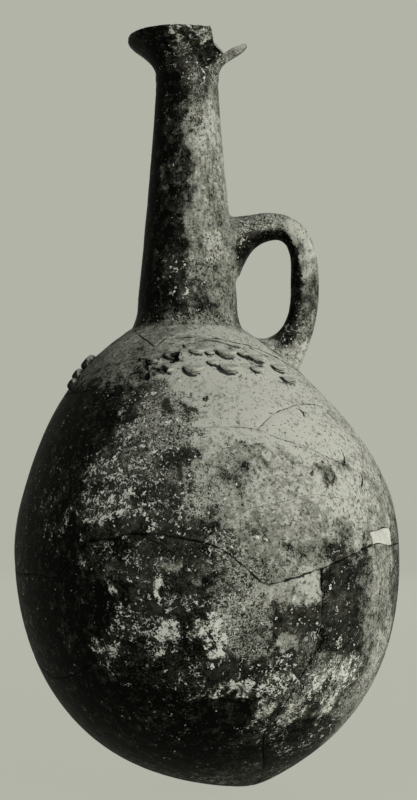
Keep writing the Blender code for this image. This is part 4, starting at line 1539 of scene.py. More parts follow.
def layers_for(points: np.ndarray, base: Base, patches: Sequence[Patch],
               outward_at: np.ndarray) -> dict[str, np.ndarray]:
    """What the clay shows at each point.

    Args:
        points: Points of the skin.
        base: What the skin shows under the patches.
        patches: The patches, from the lowest to the top one.
        outward_at: Outward direction at each point.

    Returns:
        The values of each painted attribute.
    """
    layers = {name: np.full(len(points), getattr(base, name)) for name in ("dark", "pale", "crust", "streak")}
    moved = points + ragged(points)
    for patch in patches:
        weight = patch.weight(moved, outward_at)
        for name, layer in layers.items():
            layer += (getattr(patch, name) - layer) * weight
    return layers


def paint_layers(mesh: bpy.types.Mesh, layers: dict[str, np.ndarray], skin: np.ndarray,
                 dirt: np.ndarray | float = 0.0, filler: np.ndarray | float = 0.0) -> None:
    """Store the attributes that the clay reads.

    Args:
        mesh: The mesh to paint.
        layers: The values of each attribute.
        skin: Which vertices lie on the outer skin.
        dirt: Dark earth held in cracks, and painted shade with earth in and beside the relief.
        filler: Pale filler rubbed into joins.
    """
    for name, layer in layers.items():
        paint(mesh, name, np.where(skin, layer, getattr(INSIDE, name)))
    paint(mesh, "dirt", skin * dirt)
    paint(mesh, "filler", skin * filler)


INSIDE = Base(dark=0.30, pale=0.35, crust=0.15)
BODY_BASE = Base(dark=0.55, pale=0.45, crust=0.18)
NECK_BASE = Base(dark=0.60, pale=0.45, crust=0.12, streak=0.6)
HANDLE_BASE = Base(dark=0.35, pale=0.50, crust=0.12, streak=0.6)
BODY_PATCHES: list[Patch] = [
    Patch((-82, -105, 166), (62, 113), 0, 0.96, 0.25, 0.08, edge=0.8),
    Patch((59, -92, 241), (88, 71), 0, 0.03, 0.9, 0.06, edge=0.75),
    Patch((18, -72, 290), (57, 59), 0, 0.02, 1, 0.04),
    Patch((-23, -96, 54), (100, 38), 0, 0.98, 0.2, 0.06, edge=0.35),
    # Painted shade: the left shoulder's clay is made darker than the front's, and a little paler towards the front,
    # in place of shade on the side turned from the key lamp
    Patch((-65, -35, 301), (55, 24), 0, 0.22, 0.42, 0.06, edge=0.5),
    Patch((-53, -36, 309), (23, 14), 0, 0.08, 0.62, 0.06),
    Patch((-51, -70, 283), (17, 16), 0, 0.3, 0.42, 0.08),
    Patch((-87, -60, 260), (31, 15), 0, 0.8, 0.22, 0.1),
    Patch((-73, -87, 241), (47, 12), 48, 1, 0.15, 0.08, edge=0.45),
    Patch((-61, -77, 268), (17, 8), 20, 0.92, 0.2, 0.2),
    Patch((-36, -88, 270), (16, 11), 0, 0.42, 0.7, 0.35),
    Patch((-42, -108, 235), (25, 28), 0, 0.46, 0.68, 0.45),
    Patch((-54, -116, 204), (29, 19), 0, 0.6, 0.6, 0.5),
    Patch((-67, -101, 222), (17, 7), 0, 0.6, 0.6, 0.5),
    Patch((-90, -83, 221), (16, 5), 0, 0.75, 0.5, 0.45),
    Patch((-26, -102, 254), (15, 19), 0, 0.28, 0.88, 0.4),
    Patch((-50, -94, 254), (8, 10), 0, 0.35, 0.7, 0.4),
    Patch((-21, -116, 230), (6, 8), 30, 0.72, 0.3, 0.3, edge=0.4),
    Patch((-36, -121, 209), (6, 6), 0, 0.74, 0.3, 0.35, edge=0.4),
    Patch((-22, -98, 261), (6, 6), 0, 0.66, 0.4, 0.3, edge=0.4),
    Patch((-10, -98, 262), (4, 8), 0, 0.62, 0.5, 0.25, edge=0.4),
    Patch((-8, -124, 213), (4, 9), 10, 0.8, 0.4, 0.25, edge=0.4),
    Patch((-52, -91, 257), (6, 10), 10, 0.85, 0.2, 0.3, edge=0.4),
    Patch((-17, -126, 204), (10, 9), 0, 0.7, 0.5, 0.35),
    Patch((-21, -129, 191), (21, 9), 0, 0.55, 0.42, 0.35),
    Patch((-1, -127, 204), (11, 19), 0, 0.2, 0.76, 0.2),
    Patch((16, -120, 222), (15, 20), 0, 0.26, 0.6, 0.12),
    Patch((19, -119, 222), (6, 8), 0, 0.45, 0.4, 0.15),
    Patch((27, -110, 237), (8, 4), 0, 0.35, 0.42, 0.05),
    Patch((36, -111, 231), (6, 4), 0, 0.25, 0.38, 0.05),
    Patch((2, -132, 186), (7, 13), 10, 0.8, 0.3, 0.2, edge=0.45),
    Patch((-95, -91, 188), (10, 5), 20, 0.6, 0.6, 0.8, edge=0.4),
    Patch((-85, -98, 194), (7, 3), 0, 0.6, 0.6, 0.8, edge=0.4),
    Patch((-69, -111, 191), (9, 3), 20, 0.6, 0.6, 0.7),
    Patch((-105, -72, 205), (14, 9), 40, 0.86, 0.5, 0.3),
    Patch((45, -124, 183), (40, 16), 0, 0.1, 0.6, 0.06, edge=0.3),
    Patch((26, -130, 177), (11, 10), 0, 0.1, 0.48, 0.06),
    Patch((58, -120, 171), (30, 5), 0, 0.34, 0.38, 0.06),
    Patch((28, -129, 187), (7, 6), 0, 0.25, 0.36, 0.1),
    Patch((31, -128, 184), (2, 2), 0, 0, 1, 0.9, edge=0.4),
    Patch((87, -99, 184), (7, 8), 0, 0.35, 0.36, 0.06),
    Patch((80, -106, 171), (8, 4), 0, 0.6, 0.35, 0.06),
    Patch((102, -86, 169), (6, 6), 0, 0.7, 0.4, 0.15),
    Patch((111, -66, 199), (14, 27), 0, 0.1, 0.62, 0.06),
    Patch((73, -95, 222), (8, 4), -50, 0, 0.35, 0, edge=0.4),
    Patch((79, -94, 214), (4, 5), -20, 0, 0.32, 0, edge=0.4),
    Patch((90, -79, 221), (10, 4), 0, 0.1, 0.42, 0.05),
    Patch((61, -108, 213), (6, 4), 0, 0.05, 0.5, 0.05),
    Patch((63, -112, 199), (5, 6), 0, 0.1, 0.5, 0.05),
    Patch((-25, -131, 168), (31, 15), 0, 0.76, 0.38, 0.3, edge=0.5),
    Patch((-61, -118, 159), (8, 7), 0, 0.5, 0.42, 0.2),
    Patch((-41, -127, 158), (14, 10), 0, 0.5, 0.42, 0.35),
    Patch((-23, -131, 163), (6, 5), 0, 0.05, 0.45, 0.1, edge=0.3),
    Patch((-71, -112, 169), (12, 9), 0, 0.9, 0.3, 0.3),
    Patch((-31, -129, 151), (4, 4), 0, 0, 1, 1, edge=0.3),
    Patch((-58, -118, 144), (3, 4), 20, 0.1, 0.9, 0.9, edge=0.3),
    Patch((-35, -127, 139), (12, 7), 0, 0.72, 0.62, 0.38, edge=0.5),
    Patch((-48, -121, 125), (18, 8), 0, 0.8, 0.62, 0.55, edge=0.5),
    Patch((-61, -109, 107), (9, 10), 0, 0.68, 0.8, 0.85, edge=0.5),
    Patch((-26, -128, 127), (6, 9), 20, 0.6, 0.9, 0.8, edge=0.5),
    Patch((-30, -123, 112), (8, 6), 30, 0.82, 0.5, 0.6),
    Patch((-13, -131, 140), (9, 6), 0, 0.7, 0.5, 0.5),
    Patch((13, -133, 159), (16, 15), 0, 0.2, 0.6, 0.25),
    Patch((20, -130, 136), (19, 24), 0, 0.16, 0.68, 0.3, edge=0.45),
    Patch((14, -129, 124), (13, 11), 0, 0.1, 0.88, 0.35),
    Patch((28, -126, 118), (10, 11), 0, 0.25, 0.6, 0.3),
    Patch((4, -129, 119), (10, 16), 0, 0.52, 1, 0.95, edge=0.4),
    Patch((5, -133, 153), (9, 7), 0, 0.6, 0.45, 0.15),
    Patch((-4, -131, 139), (5, 11), 0, 0.93, 0.2, 0.3, edge=0.4),
    Patch((-11, -125, 107), (10, 10), 0, 0.93, 0.2, 0.2, edge=0.4),
    Patch((-4, -121, 93), (25, 10), 0, 0.9, 0.3, 0.35),
    Patch((21, -122, 98), (14, 8), 0, 0.72, 0.45, 0.3),
    Patch((-47, -114, 101), (17, 10), 0, 0.93, 0.2, 0.2, edge=0.4),
    Patch((48, -123, 148), (22, 9), 0, 0.1, 0.7, 0.1, edge=0.5),
    Patch((63, -117, 147), (8, 12), 0, 0.02, 0.92, 0.1, edge=0.4),
    Patch((55, -119, 125), (21, 13), 0, 0.62, 0.52, 0.24, edge=0.5, streak=0.7),
    Patch((40, -124, 126), (5, 11), 10, 0.8, 0.3, 0.25, edge=0.3),
    Patch((50, -118, 114), (8, 6), 0, 0.03, 0.66, 0.05, edge=0.25),
    Patch((62, -112, 114), (5, 8), 0, 0.45, 0.7, 0.3),
    Patch((38, -119, 104), (16, 5), 10, 0.8, 0.3, 0.35),
    Patch((85, -101, 142), (15, 32), 0, 0.7, 0.5, 0.24, edge=0.4, streak=0.8),
    Patch((90, -98, 156), (7, 9), 0, 0.85, 0.3, 0.2, edge=0.4),
    Patch((88, -93, 114), (15, 5), 0, 0.75, 0.5, 0.4),
    Patch((107, -77, 143), (7, 36), 0, 0.1, 0.5, 0.1, edge=0.3, streak=0.6),
    Patch((102, -84, 138), (5, 29), 0, 0.5, 0.45, 0.1, streak=0.6),
    Patch((116, -64, 149), (12, 39), 0, 0.16, 0.55, 0.06),
    Patch((113, -65, 123), (9, 13), 0, 0.35, 0.5, 0.1),
    Patch((65, -107, 102), (8, 8), 0, 0.45, 0.5, 0.15),
    Patch((47, -114, 95), (12, 9), 0, 0.58, 0.68, 0.6),
    Patch((84, -90, 93), (22, 10), 0, 0.42, 1, 0.7, edge=0.5),
    Patch((67, -99, 86), (5, 3), 0, 0, 0.9, 0.8, edge=0.4),
    Patch((39, -113, 87), (14, 5), 0, 0.75, 0.6, 0.6),
    Patch((56, -103, 81), (11, 11), 0, 0.42, 0.66, 0.4),
    Patch((76, -86, 75), (15, 10), 40, 0.45, 0.8, 0.6),
    Patch((96, -60, 70), (19, 17), 50, 0.3, 0.9, 0.4),
    Patch((67, -90, 70), (11, 7), 40, 0.8, 0.4, 0.2),
    Patch((52, -95, 65), (16, 9), 30, 0.25, 0.72, 0.45, edge=0.4),
    Patch((32, -107, 71), (11, 10), 50, 0.6, 0.5, 0.25),
    Patch((74, -61, 47), (26, 9), 20, 0.7, 0.5, 0.35),
    Patch((61, -67, 42), (26, 11), 0, 0.82, 0.3, 0.35),
    Patch((11, -118, 86), (10, 2), 0, 0.5, 0.8, 0.7, edge=0.4),
    Patch((25, -115, 85), (5, 3), -40, 0.5, 0.8, 0.8, edge=0.4),
    Patch((-11, -117, 84), (9, 5), 0, 0.85, 0.5, 0.5),
    Patch((-36, -97, 61), (9, 9), 0, 0.82, 0.25, 0.2),
    Patch((-14, -106, 64), (8, 9), -40, 0.85, 0.3, 0.2),
    Patch((12, -47, 13), (33, 7), 0, 0.6, 0.45, 0.4),
    Patch((-36, -91, 53), (43, 14), 0, 0.96, 0.35, 0.1),
    Patch((35, -94, 54), (15, 9), 0, 0.75, 0.5, 0.3),
    Patch((-29, -111, 79), (26, 14), 0, 0.95, 0.4, 0.14),
    Patch((-87, -89, 107), (25, 40), 0, 0.97, 0.3, 0.08),
    Patch((-94, -84, 209), (18, 27), 0, 0.94, 0.45, 0.16),
    Patch((11, -132, 180), (9, 6), -20, 0.35, 0.5, 0.3),
    Patch((-14, -56, 307), (27, 7), 0, 0.12, 0.7, 0.05),
    Patch((-16, -62, 302), (3, 3), 0, 0.8, 0.3, 0.1),
    Patch((21, -54, 301), (6, 4), 0, 0.2, 0.5, 0.1),
    Patch((49, -113, 216), (15, 15), 0, 0.05, 0.68, 0.06),
    Patch((115, -50, 102), (15, 30), -18, 0.08, 0.9, 0.2, streak=0.7),
    Patch((105, -30, 65), (19, 25), -35, 0.1, 0.92, 0.3, streak=0.7),
    Patch((56, -98, 72), (6, 11), -25, 0.35, 0.85, 0.6),
    Patch((37, -106, 71), (5, 8), -25, 0.3, 0.7, 0.6),
    Patch((79, -81, 73), (5, 10), -40, 0.2, 1, 0.7),
    Patch((0, -129, 119), (2, 8), -15, 0.95, 0.1, 0.3, edge=0.4),
    Patch((65, -95, 76), (2, 18), -35, 0.85, 0.2, 0.3),
    Patch((-12, -116, 232), (4, 10), 10, 0.55, 0.6, 0.35),
    Patch((-8, -110, 243), (4, 6), 20, 0.3, 0.72, 0.3),
    Patch((-14, -122, 216), (4, 5), -20, 0.3, 0.7, 0.4),
    Patch((51, -121, 136), (5, 2), 10, 0.15, 0.8, 0.4),
    Patch((-7, -119, 227), (3, 4), 0, 0.6, 0.5, 0.3),
    Patch((39, -125, 132), (3, 4), 20, 0.2, 0.7, 0.3),
    Patch((-31, -77, 285), (8, 4), 0, 1, 0.1, 0.05, edge=0.4),
    Patch((-38, -68, 291), (3, 5), 0, 1, 0.1, 0.05, edge=0.4),
    Patch((-21, -71, 295), (7, 3), 8, 0.95, 0.2, 0.05, edge=0.4),
    Patch((31, -57, 293), (6, 2), 15, 0.7, 0.4, 0.05, edge=0.5),
    Patch((96, -60, 70), (11, 13), 28, 0.15, 0.75, 0.2, streak=0.6),
    Patch((87, -29, 41), (27, 9), -38, 0.25, 0.6, 0.15, streak=0.6),
]
UPPER_PATCHES: list[Patch] = [
    # Painted shade and light across the neck: black slip on its left, worn clay on its right and a streaked strip
    # between; this step from dark to pale also stands in for the shade turning to light
    Patch((-33, -20, 413), (23, 103), 0, 1, 0.12, 0.02, edge=0.45),
    Patch((1, -24, 412), (21, 103), 0, 0.12, 0.56, 0.06, edge=0.55, streak=0.8),
    Patch((-15, -28, 411), (6, 82), 0, 0.7, 0.46, 0.06, edge=0.7, streak=1),
    Patch((-10, -23, 480), (10, 15), 0, 0.45, 0.66, 0.25, streak=0.3),
    Patch((-24, -21, 469), (7, 12), 0, 0.82, 0.4, 0.15, streak=0.6),
    Patch((-5, -23, 450), (7, 14), 0, 0.1, 0.66, 0.1, streak=0.6),
    Patch((-11, -24, 463), (7, 11), 0, 0.35, 0.7, 0.2, streak=0.6),
    Patch((5, -16, 455), (8, 15), 0, 0.05, 0.7, 0.04, streak=0.6),
    Patch((4, -23, 402), (10, 11), 0, 0.1, 0.38, 0.04, streak=0.5),
    Patch((-7, -29, 394), (7, 14), 0, 0.2, 0.5, 0.05, streak=0.8),
    Patch((2, -29, 358), (10, 10), 0, 0.08, 0.3, 0.06, streak=0.6),
    Patch((-24, -31, 361), (7, 11), 20, 0.8, 0.6, 0.4, streak=0.6),
    Patch((-11, -34, 345), (8, 5), -20, 0.62, 0.6, 0.5, streak=0.6),
    Patch((-7, -32, 362), (7, 8), 0, 0.2, 0.5, 0.2, streak=0.6),
    Patch((7, -25, 367), (9, 3), 0, 0, 0.95, 0.5, edge=0.4),
    Patch((3, -26, 380), (7, 3), 0, 0, 0.92, 0.3, streak=0.6),
    Patch((15, -16, 364), (10, 14), 0, 0.05, 0.38, 0.1, streak=0.6),
    Patch((1, -32, 338), (13, 9), 0, 0.6, 0.4, 0.15, streak=0.6),
    Patch((-28, -32, 328), (29, 8), 0, 0.86, 0.42, 0.15, streak=0.6),
    Patch((-5, -35, 326), (18, 7), 0, 0.4, 0.5, 0.15),
    Patch((12, -22, 344), (10, 18), 0, 0.2, 0.38, 0.08, streak=0.6),
    Patch((-15, -41, 318), (34, 6), 0, 0.3, 0.52, 0.1),
    Patch((-45, -13, 512), (31, 20), 0, 0.97, 0.15, 0.12),
    Patch((-33, -5, 496), (20, 29), 0, 1, 0.15, 0.04),
    Patch((-21, -27, 507), (11, 9), 0, 0.5, 0.62, 0.4),
    Patch((-11, -22, 497), (10, 10), 0, 0.5, 0.55, 0.4),
    Patch((4, -15, 499), (15, 12), 0, 0.35, 0.58, 0.3),
    Patch((-8, -34, 512), (10, 9), 0, 0.85, 0.3, 0.3),
    Patch((-23, -41, 519), (32, 3), 0, 0.4, 0.7, 0.55),
    Patch((-0, -39, 518), (5, 6), 0, 0.2, 0.8, 0.5),
    Patch((4, -23, 508), (7, 10), 0, 0.8, 0.4, 0.15),
    Patch((-24, -27, 508), (11, 5), 10, 0.05, 0.9, 0.6),
    Patch((15, -15, 374), (7, 21), 0, 0.12, 0.42, 0.06, streak=0.4),
    Patch((-39, -26, 514), (13, 13), 0, 0.97, 0.15, 0.1),
]
HANDLE_PATCHES: list[Patch] = [
    Patch((40, -9, 393), (18, 4), 0, 0.28, 0.8, 0.25),
    Patch((25, -12, 385), (10, 10), 0, 0.35, 0.66, 0.3),
    Patch((65, -8, 386), (11, 9), -45, 0.03, 0.95, 0.1),
    Patch((72, -8, 370), (7, 14), 0, 0.03, 0.9, 0.06),
    Patch((74, -8, 344), (7, 18), 0, 0.5, 0.32, 0.06, streak=1),
    Patch((70, -8, 318), (7, 14), 0, 0.22, 0.5, 0.15, streak=1),
    Patch((56, -9, 316), (9, 7), 20, 0.6, 0.5, 0.3),
    Patch((63, -9, 302), (12, 6), 0, 0.1, 0.8, 0.1),
]


def far_side(patches: Sequence[Patch], seed: int) -> list[Patch]:
    """Patches for the side that the photograph doesn't show, after those of the front.

    Args:
        patches: The patches of the front.
        seed: Seed of the random shifts.

    Returns:
        Mirrored copies that are moved round and up or down, so that the far side looks alike but not the same.
    """
    rng = np.random.default_rng(seed)
    copies = []
    for patch in patches:
        angle, lift, tilt = rng.normal(0.0, 0.40), rng.normal(0.0, 16.0), rng.normal(0.0, 20.0)
        x, y, z = patch.place
        x, y = x * math.cos(angle) + y * math.sin(angle), x * math.sin(angle) - y * math.cos(angle)
        if y > 12.0:
            copies.append(replace(patch, place=(x, y, z + lift), turn=tilt - patch.turn))
    return copies


BODY_SKIN = [*far_side(BODY_PATCHES, 21), *BODY_PATCHES]
UPPER_SKIN = [*far_side(UPPER_PATCHES, 22), *UPPER_PATCHES]


def skin_tree(studio: Studio, form: BodyForm) -> BVHTree:
    """A search tree of the body's smooth outer skin."""
    skin = studio.turned("body_skin", form.section(form.outer(60, 80)), 240)
    tree = BVHTree.FromObject(skin, bpy.context.evaluated_depsgraph_get())
    discard(skin)
    return tree


def surface_point(skin: BVHTree, form: BodyForm, azimuth: float, latitude: float) -> tuple[Vector, Vector]:
    """Place and outward normal of the body's skin in one direction from the belly's centre."""
    place, normal, _, _ = skin.ray_cast(form.centre, Vector(direction(azimuth, latitude)))
    return place, normal if normal.dot(place - form.centre) > 0.0 else -normal


def seated_wall(studio: Studio, form: BodyForm, sink: float) -> bpy.types.Object:
    """The wall's closed form, shrunk by a small sink, that what rests on it is cut by.

    Args:
        studio: The made trees and materials.
        form: The body's form.
        sink: How far it is shrunk.

    Returns:
        The form's object.
    """
    outer = offset(form.outer(70, 40), -sink)
    inner = offset(form.inner(24, 16), sink)
    wall = studio.turned("wall_seat", form.section(np.concatenate([inner[::-1], outer])), 300)
    cut_all(wall, [form.opening(sink, 180)])
    return wall


@dataclass
class Neck:
    """The tapering neck with its spreading foot and the spigot that sits in the body's opening."""

    form: BodyForm = FORM
    length: float = 0.1722
    foot_radius: float = 0.0412
    foot_height: float = 0.0180
    root_radius: float = 0.0349
    top_radius: float = 0.0221
    top_draw: float = 0.15
    top_pull: float = 0.25
    root_draw: float = 0.36
    root_pull: float = 0.30
    foot_feather: float = 0.0050
    foot_start: float = 0.45
    wall: float = 0.0065
    spigot_wall: float = 0.0060
    spigot_depth: float = 0.0095
    scarf_rise: float = 0.0040
    handle_height: float = 0.0520
    seat_radius: float = 0.0410
    gap: float = 0.0003
    steps: int = 260
    sink: float = 0.0003
    # Where the skin's unevenness sets in, away from the foot, the top and the handle
    skin_margin: float = 0.0002
    foot_fade: tuple[float, float] = (0.0010, 0.0100)
    top_fade: float = 0.0040
    handle_fade: tuple[float, float] = (0.0200, 0.0340)
    # How wide the two marks are, and how rough the worn skin is
    mark_width: tuple[float, float] = (0.0003, 0.0010)
    smooth_wear: float = 0.2

    def seat(self) -> tuple[Vector, float]:
        """Centre and radius of the place where the foot is laid on the shoulder."""
        return Vector((self.form.neck_axis, 0.0, self.form.height)), self.seat_radius

    def outer(self, steps: int) -> np.ndarray:
        """Outer profile from the top to the foot, as radius and height above the body's opening.

        Args:
            steps: Steps of its shaft.

        Returns:
            The profile.
        """
        span = self.length - self.foot_height
        slim = self.root_radius - self.top_radius
        shaft = bezier(
            (self.top_radius, self.length),
            (self.top_radius + self.top_draw * slim, self.length - self.top_pull * span),
            (self.root_radius - self.root_draw * slim, self.foot_height + self.root_pull * span),
            (self.root_radius, self.foot_height), steps,
        )
        shoulder = self.form.outer(70, 40)[:70]
        skin = float(np.interp(self.foot_radius, shoulder[:, 0], shoulder[:, 1])) - self.form.height
        slope = self.form.shoulder_slope
        end = np.array([self.foot_radius, skin - 0.0005])
        foot = bezier(
            (self.root_radius, self.foot_height), (self.root_radius, self.foot_start * self.foot_height),
            end + self.foot_feather * np.array([-math.cos(slope), math.sin(slope)]), end, max(steps // 6, 4),
        )
        return np.concatenate([shaft, foot[1:]])

    def placed(self, profile: np.ndarray) -> np.ndarray:
        """Put a profile on the neck's axis above the body."""
        axis = np.full(len(profile), self.form.neck_axis)
        return np.stack([profile[:, 0], axis, profile[:, 1] + self.form.height], axis=1)

    def profile(self, steps: int) -> np.ndarray:
        """The neck's whole closed profile.

        Args:
            steps: Steps of its shaft.

        Returns:
            Points of radius and height.
        """
        outer = self.outer(steps)
        shaft = outer[outer[:, 1] >= self.foot_height]
        spigot = self.form.opening_radius - self.gap
        flange = outer[-1, 1] - 0.5 * self.form.wall
        inside = shaft[::-1][1::4] - (self.wall, 0.0)
        return np.concatenate([
            outer,
            [(self.foot_radius, flange), (spigot, flange), (spigot, -self.spigot_depth),
             (spigot - self.spigot_wall, -self.spigot_depth), (spigot - self.spigot_wall, 0.25 * self.foot_height)],
            inside, [(self.top_radius - self.wall, self.length + self.scarf_rise)], outer[:1],
        ])

    def build(self, studio: Studio) -> None:
        """Build, paint, weather and hand over the neck.

        Args:
            studio: The made trees and materials.
        """
        neck = studio.turned("fired_neck", self.placed(self.profile(230)), self.steps)
        seat = seated_wall(studio, self.form, self.sink)
        cut(neck, seat)
        settle(neck)
        discard(seat)
        points = coordinates(neck.data)
        axis = np.array([self.form.neck_axis, 0.0])
        local = points[:, :2] - axis
        radius = np.linalg.norm(local, axis=1)
        outer = self.outer(200)
        skin_radius = np.interp(points[:, 2] - self.form.height, outer[::-1, 1], outer[::-1, 0])
        skin = (radius > skin_radius - self.skin_margin) & (points[:, 2] > self.form.height + outer[-1, 1])
        outward_at = np.zeros_like(points)
        outward_at[:, :2] = unit(local)
        dirt = np.zeros(len(points))
        for darkness, line in NECK_MARKS:
            away = distance_to_lines(points, [np.array(line)], 0.003)
            dirt = np.maximum(dirt, darkness * (1.0 - smoothstep(away, *self.mark_width)))
        layers = layers_for(points, NECK_BASE, UPPER_SKIN, outward_at)
        paint_layers(neck.data, layers, skin, dirt)
        exposed = skin * smoothstep(points[:, 2] - self.form.height, *self.foot_fade)
        exposed *= smoothstep(self.form.height + self.length - points[:, 2], 0.0, self.top_fade)
        root = np.array([self.form.neck_axis + self.root_radius, 0.0, self.form.height + self.handle_height])
        exposed *= smoothstep(np.linalg.norm((points - root) * (1.0, 1.0, 0.55), axis=1), *self.handle_fade)
        studio.weather(neck, "neck", Slot.DARK,
                       {"exposed": exposed, "rough": self.smooth_wear, "broken": 0.0, "inward": -outward_at},
                       {"Unevenness": 0.0011, "Unevenness Size": 0.040, "Seed": 4.0})


@dataclass
class Mouth:
    """The flared mouth, scarfed on to the neck, with a piece broken from its rim."""

    neck: Neck = field(default_factory=Neck)
    height: float = 0.0278
    radius: float = 0.0424
    funnel_slope: float = math.radians(26.0)
    flare_slope: float = math.radians(58.0)
    tilt: float = math.radians(2.2)
    flare_pull: float = 0.34
    throat_pull: float = 0.50
    funnel_pull: float = 0.55
    inner_pull: float = 0.52
    lip_radius: float = 0.0024
    chip_reach: float = 1.80
    chip_jag: float = 0.00060
    chip_wave: float = 0.00045
    focus_rise: float = 0.0300
    steps: int = 360
    # Where the skin's unevenness sets in, and how rough the lip and the wall are
    skin_margin: float = 0.00005
    foot_fade: tuple[float, float] = (0.0006, 0.0040)
    lip_wear: float = 3.0
    wall_wear: float = 0.4

    @property
    def base(self) -> np.ndarray:
        """Middle of the mouth's foot."""
        return np.array([self.neck.form.neck_axis, 0.0, self.neck.form.height + self.neck.length])

    def profile(self) -> np.ndarray:
        """The mouth's closed profile, from the lip's inner side round to it again.

        Returns:
            Points of radius and height.
        """
        lip = np.array([self.radius - self.lip_radius, self.height - self.lip_radius])
        flare = np.array([math.cos(self.flare_slope), math.sin(self.flare_slope)])
        funnel = np.array([math.cos(self.funnel_slope), math.sin(self.funnel_slope)])
        spread = self.radius - self.neck.top_radius
        angle = np.linspace(self.funnel_slope + math.pi / 2.0, self.flare_slope - math.pi / 2.0, 9)
        rounding = lip + self.lip_radius * np.stack([np.cos(angle), np.sin(angle)], axis=1)
        foot_outer = (self.neck.top_radius, 0.0)
        foot_inner = (self.neck.top_radius - self.neck.wall, self.neck.scarf_rise)
        outside = bezier(
            rounding[-1], rounding[-1] - flare * self.flare_pull * spread,
            (self.neck.top_radius, self.throat_pull * self.height), foot_outer, 60,
        )
        inside = bezier(
            foot_inner, (foot_inner[0], self.inner_pull * self.height),
            rounding[0] - funnel * self.funnel_pull * spread, rounding[0], 56,
        )
        scarf = np.linspace(outside[-1], inside[0], 8)
        return np.concatenate([rounding, outside[1:], scarf[1:-1], inside])

    def radius_at(self, height: float) -> float:
        """Outer radius at a height above the neck, carried on past the lip."""
        share = min(height / self.height, 1.0)
        spread = self.radius - self.neck.top_radius
        flared = self.neck.top_radius + spread * share * share * (3 - 2 * share) ** 0.5
        return flared + max(height - self.height, 0.0)

    def chip(self) -> bpy.types.Object:
        """The body of the lost piece: a cone through its outline, with a rough broken surface.

        Returns:
            The piece's object, used as a cutter.
        """
        outline = []
        for azimuth, rise in CHIP:
            radius, turn = self.radius_at(rise), math.radians(azimuth)
            outline.append(self.base + (radius * math.sin(turn), -radius * math.cos(turn), rise))
        outline = np.array(outline + outline[:1])
        lengths = lengths_along(outline)
        samples = np.linspace(0.0, lengths[-1], 260, endpoint=False)
        ring = np.stack([np.interp(samples, lengths, outline[:, axis]) for axis in range(3)], axis=1)
        focus = self.base + (0.0, 0.0, self.height + self.focus_rise)
        rng = np.random.default_rng(11)
        shares = np.linspace(0.45, self.chip_reach, 90)
        jag = rng.normal(size=(len(shares), len(samples)))
        for _ in range(2):
            jag = (jag + np.roll(jag, 1, 1) + np.roll(jag, -1, 1)) / 3.0
            jag[1:-1] = (jag[1:-1] + jag[:-2] + jag[2:]) / 3.0
        slow = rng.normal(size=(12, 34))
        rows = np.linspace(0, 11, len(shares))
        columns = np.linspace(0, 34, len(samples), endpoint=False)
        low = np.array([np.interp(columns, np.arange(35), np.append(line, line[0])) for line in slow])
        coarse = np.array([np.interp(rows, np.arange(12), low[:, column]) for column in range(len(samples))]).T
        middle = ring.mean(axis=0)
        sideways = unit(ring - middle)
        points = [
            focus + (ring - focus) * share
            + sideways * (jag[row] * self.chip_jag + coarse[row] * self.chip_wave)[:, None]
            for row, share in enumerate(shares)
        ]
        count = len(samples)
        points = np.concatenate(points + [focus[None], (focus + (middle - focus) * self.chip_reach)[None]])
        faces = ring_faces(len(shares), count)
        apex, end = len(shares) * count, len(shares) * count + 1
        last = (len(shares) - 1) * count
        for column in range(count):
            beside = (column + 1) % count
            faces.append((apex, beside, column))
            faces.append((end, last + column, last + beside))
        return outward(linked("lost_chip", mesh_from("lost_chip", points, faces=faces)))

    def build(self, studio: Studio) -> None:
        """Build, paint, weather and hand over the mouth.

        Args:
            studio: The made trees and materials.
        """
        profile = self.profile()
        axis = np.zeros(len(profile))
        section = np.stack([profile[:, 0], axis, profile[:, 1]], axis=1)
        mouth = studio.turned("fired_mouth", np.concatenate([section, section[:1]]), self.steps)
        points = coordinates(mouth.data)
        points[:, 2] -= math.tan(self.tilt) * points[:, 0] * np.clip(points[:, 2] / self.height, 0.0, None) ** 2
        move_vertices(mouth.data, points + self.base)
        whole = BVHTree.FromObject(mouth, bpy.context.evaluated_depsgraph_get())
        cut_all(mouth, [self.chip()])
        points = coordinates(mouth.data)
        on_skin = np.array([whole.find_nearest(Vector(point))[3] < self.skin_margin for point in points])
        local = points - self.base
        radius = np.maximum(np.hypot(local[:, 0], local[:, 1]), 1e-9)
        outward_at = np.stack([local[:, 0] / radius, local[:, 1] / radius, np.zeros(len(points))], axis=1)
        paint_layers(mouth.data, layers_for(points, NECK_BASE, UPPER_SKIN, outward_at), on_skin)
        worn_lip = smoothstep(local[:, 2], self.height - 0.004, self.height - 0.001)
        studio.weather(mouth, "mouth", Slot.DARK, {
            "exposed": on_skin * smoothstep(local[:, 2], *self.foot_fade),
            "rough": self.wall_wear + self.lip_wear * worn_lip,
            "broken": ~on_skin, "inward": -vertex_normals(mouth.data),
        }, {"Unevenness": 0.0007, "Unevenness Size": 0.024, "Seed": 7.0})


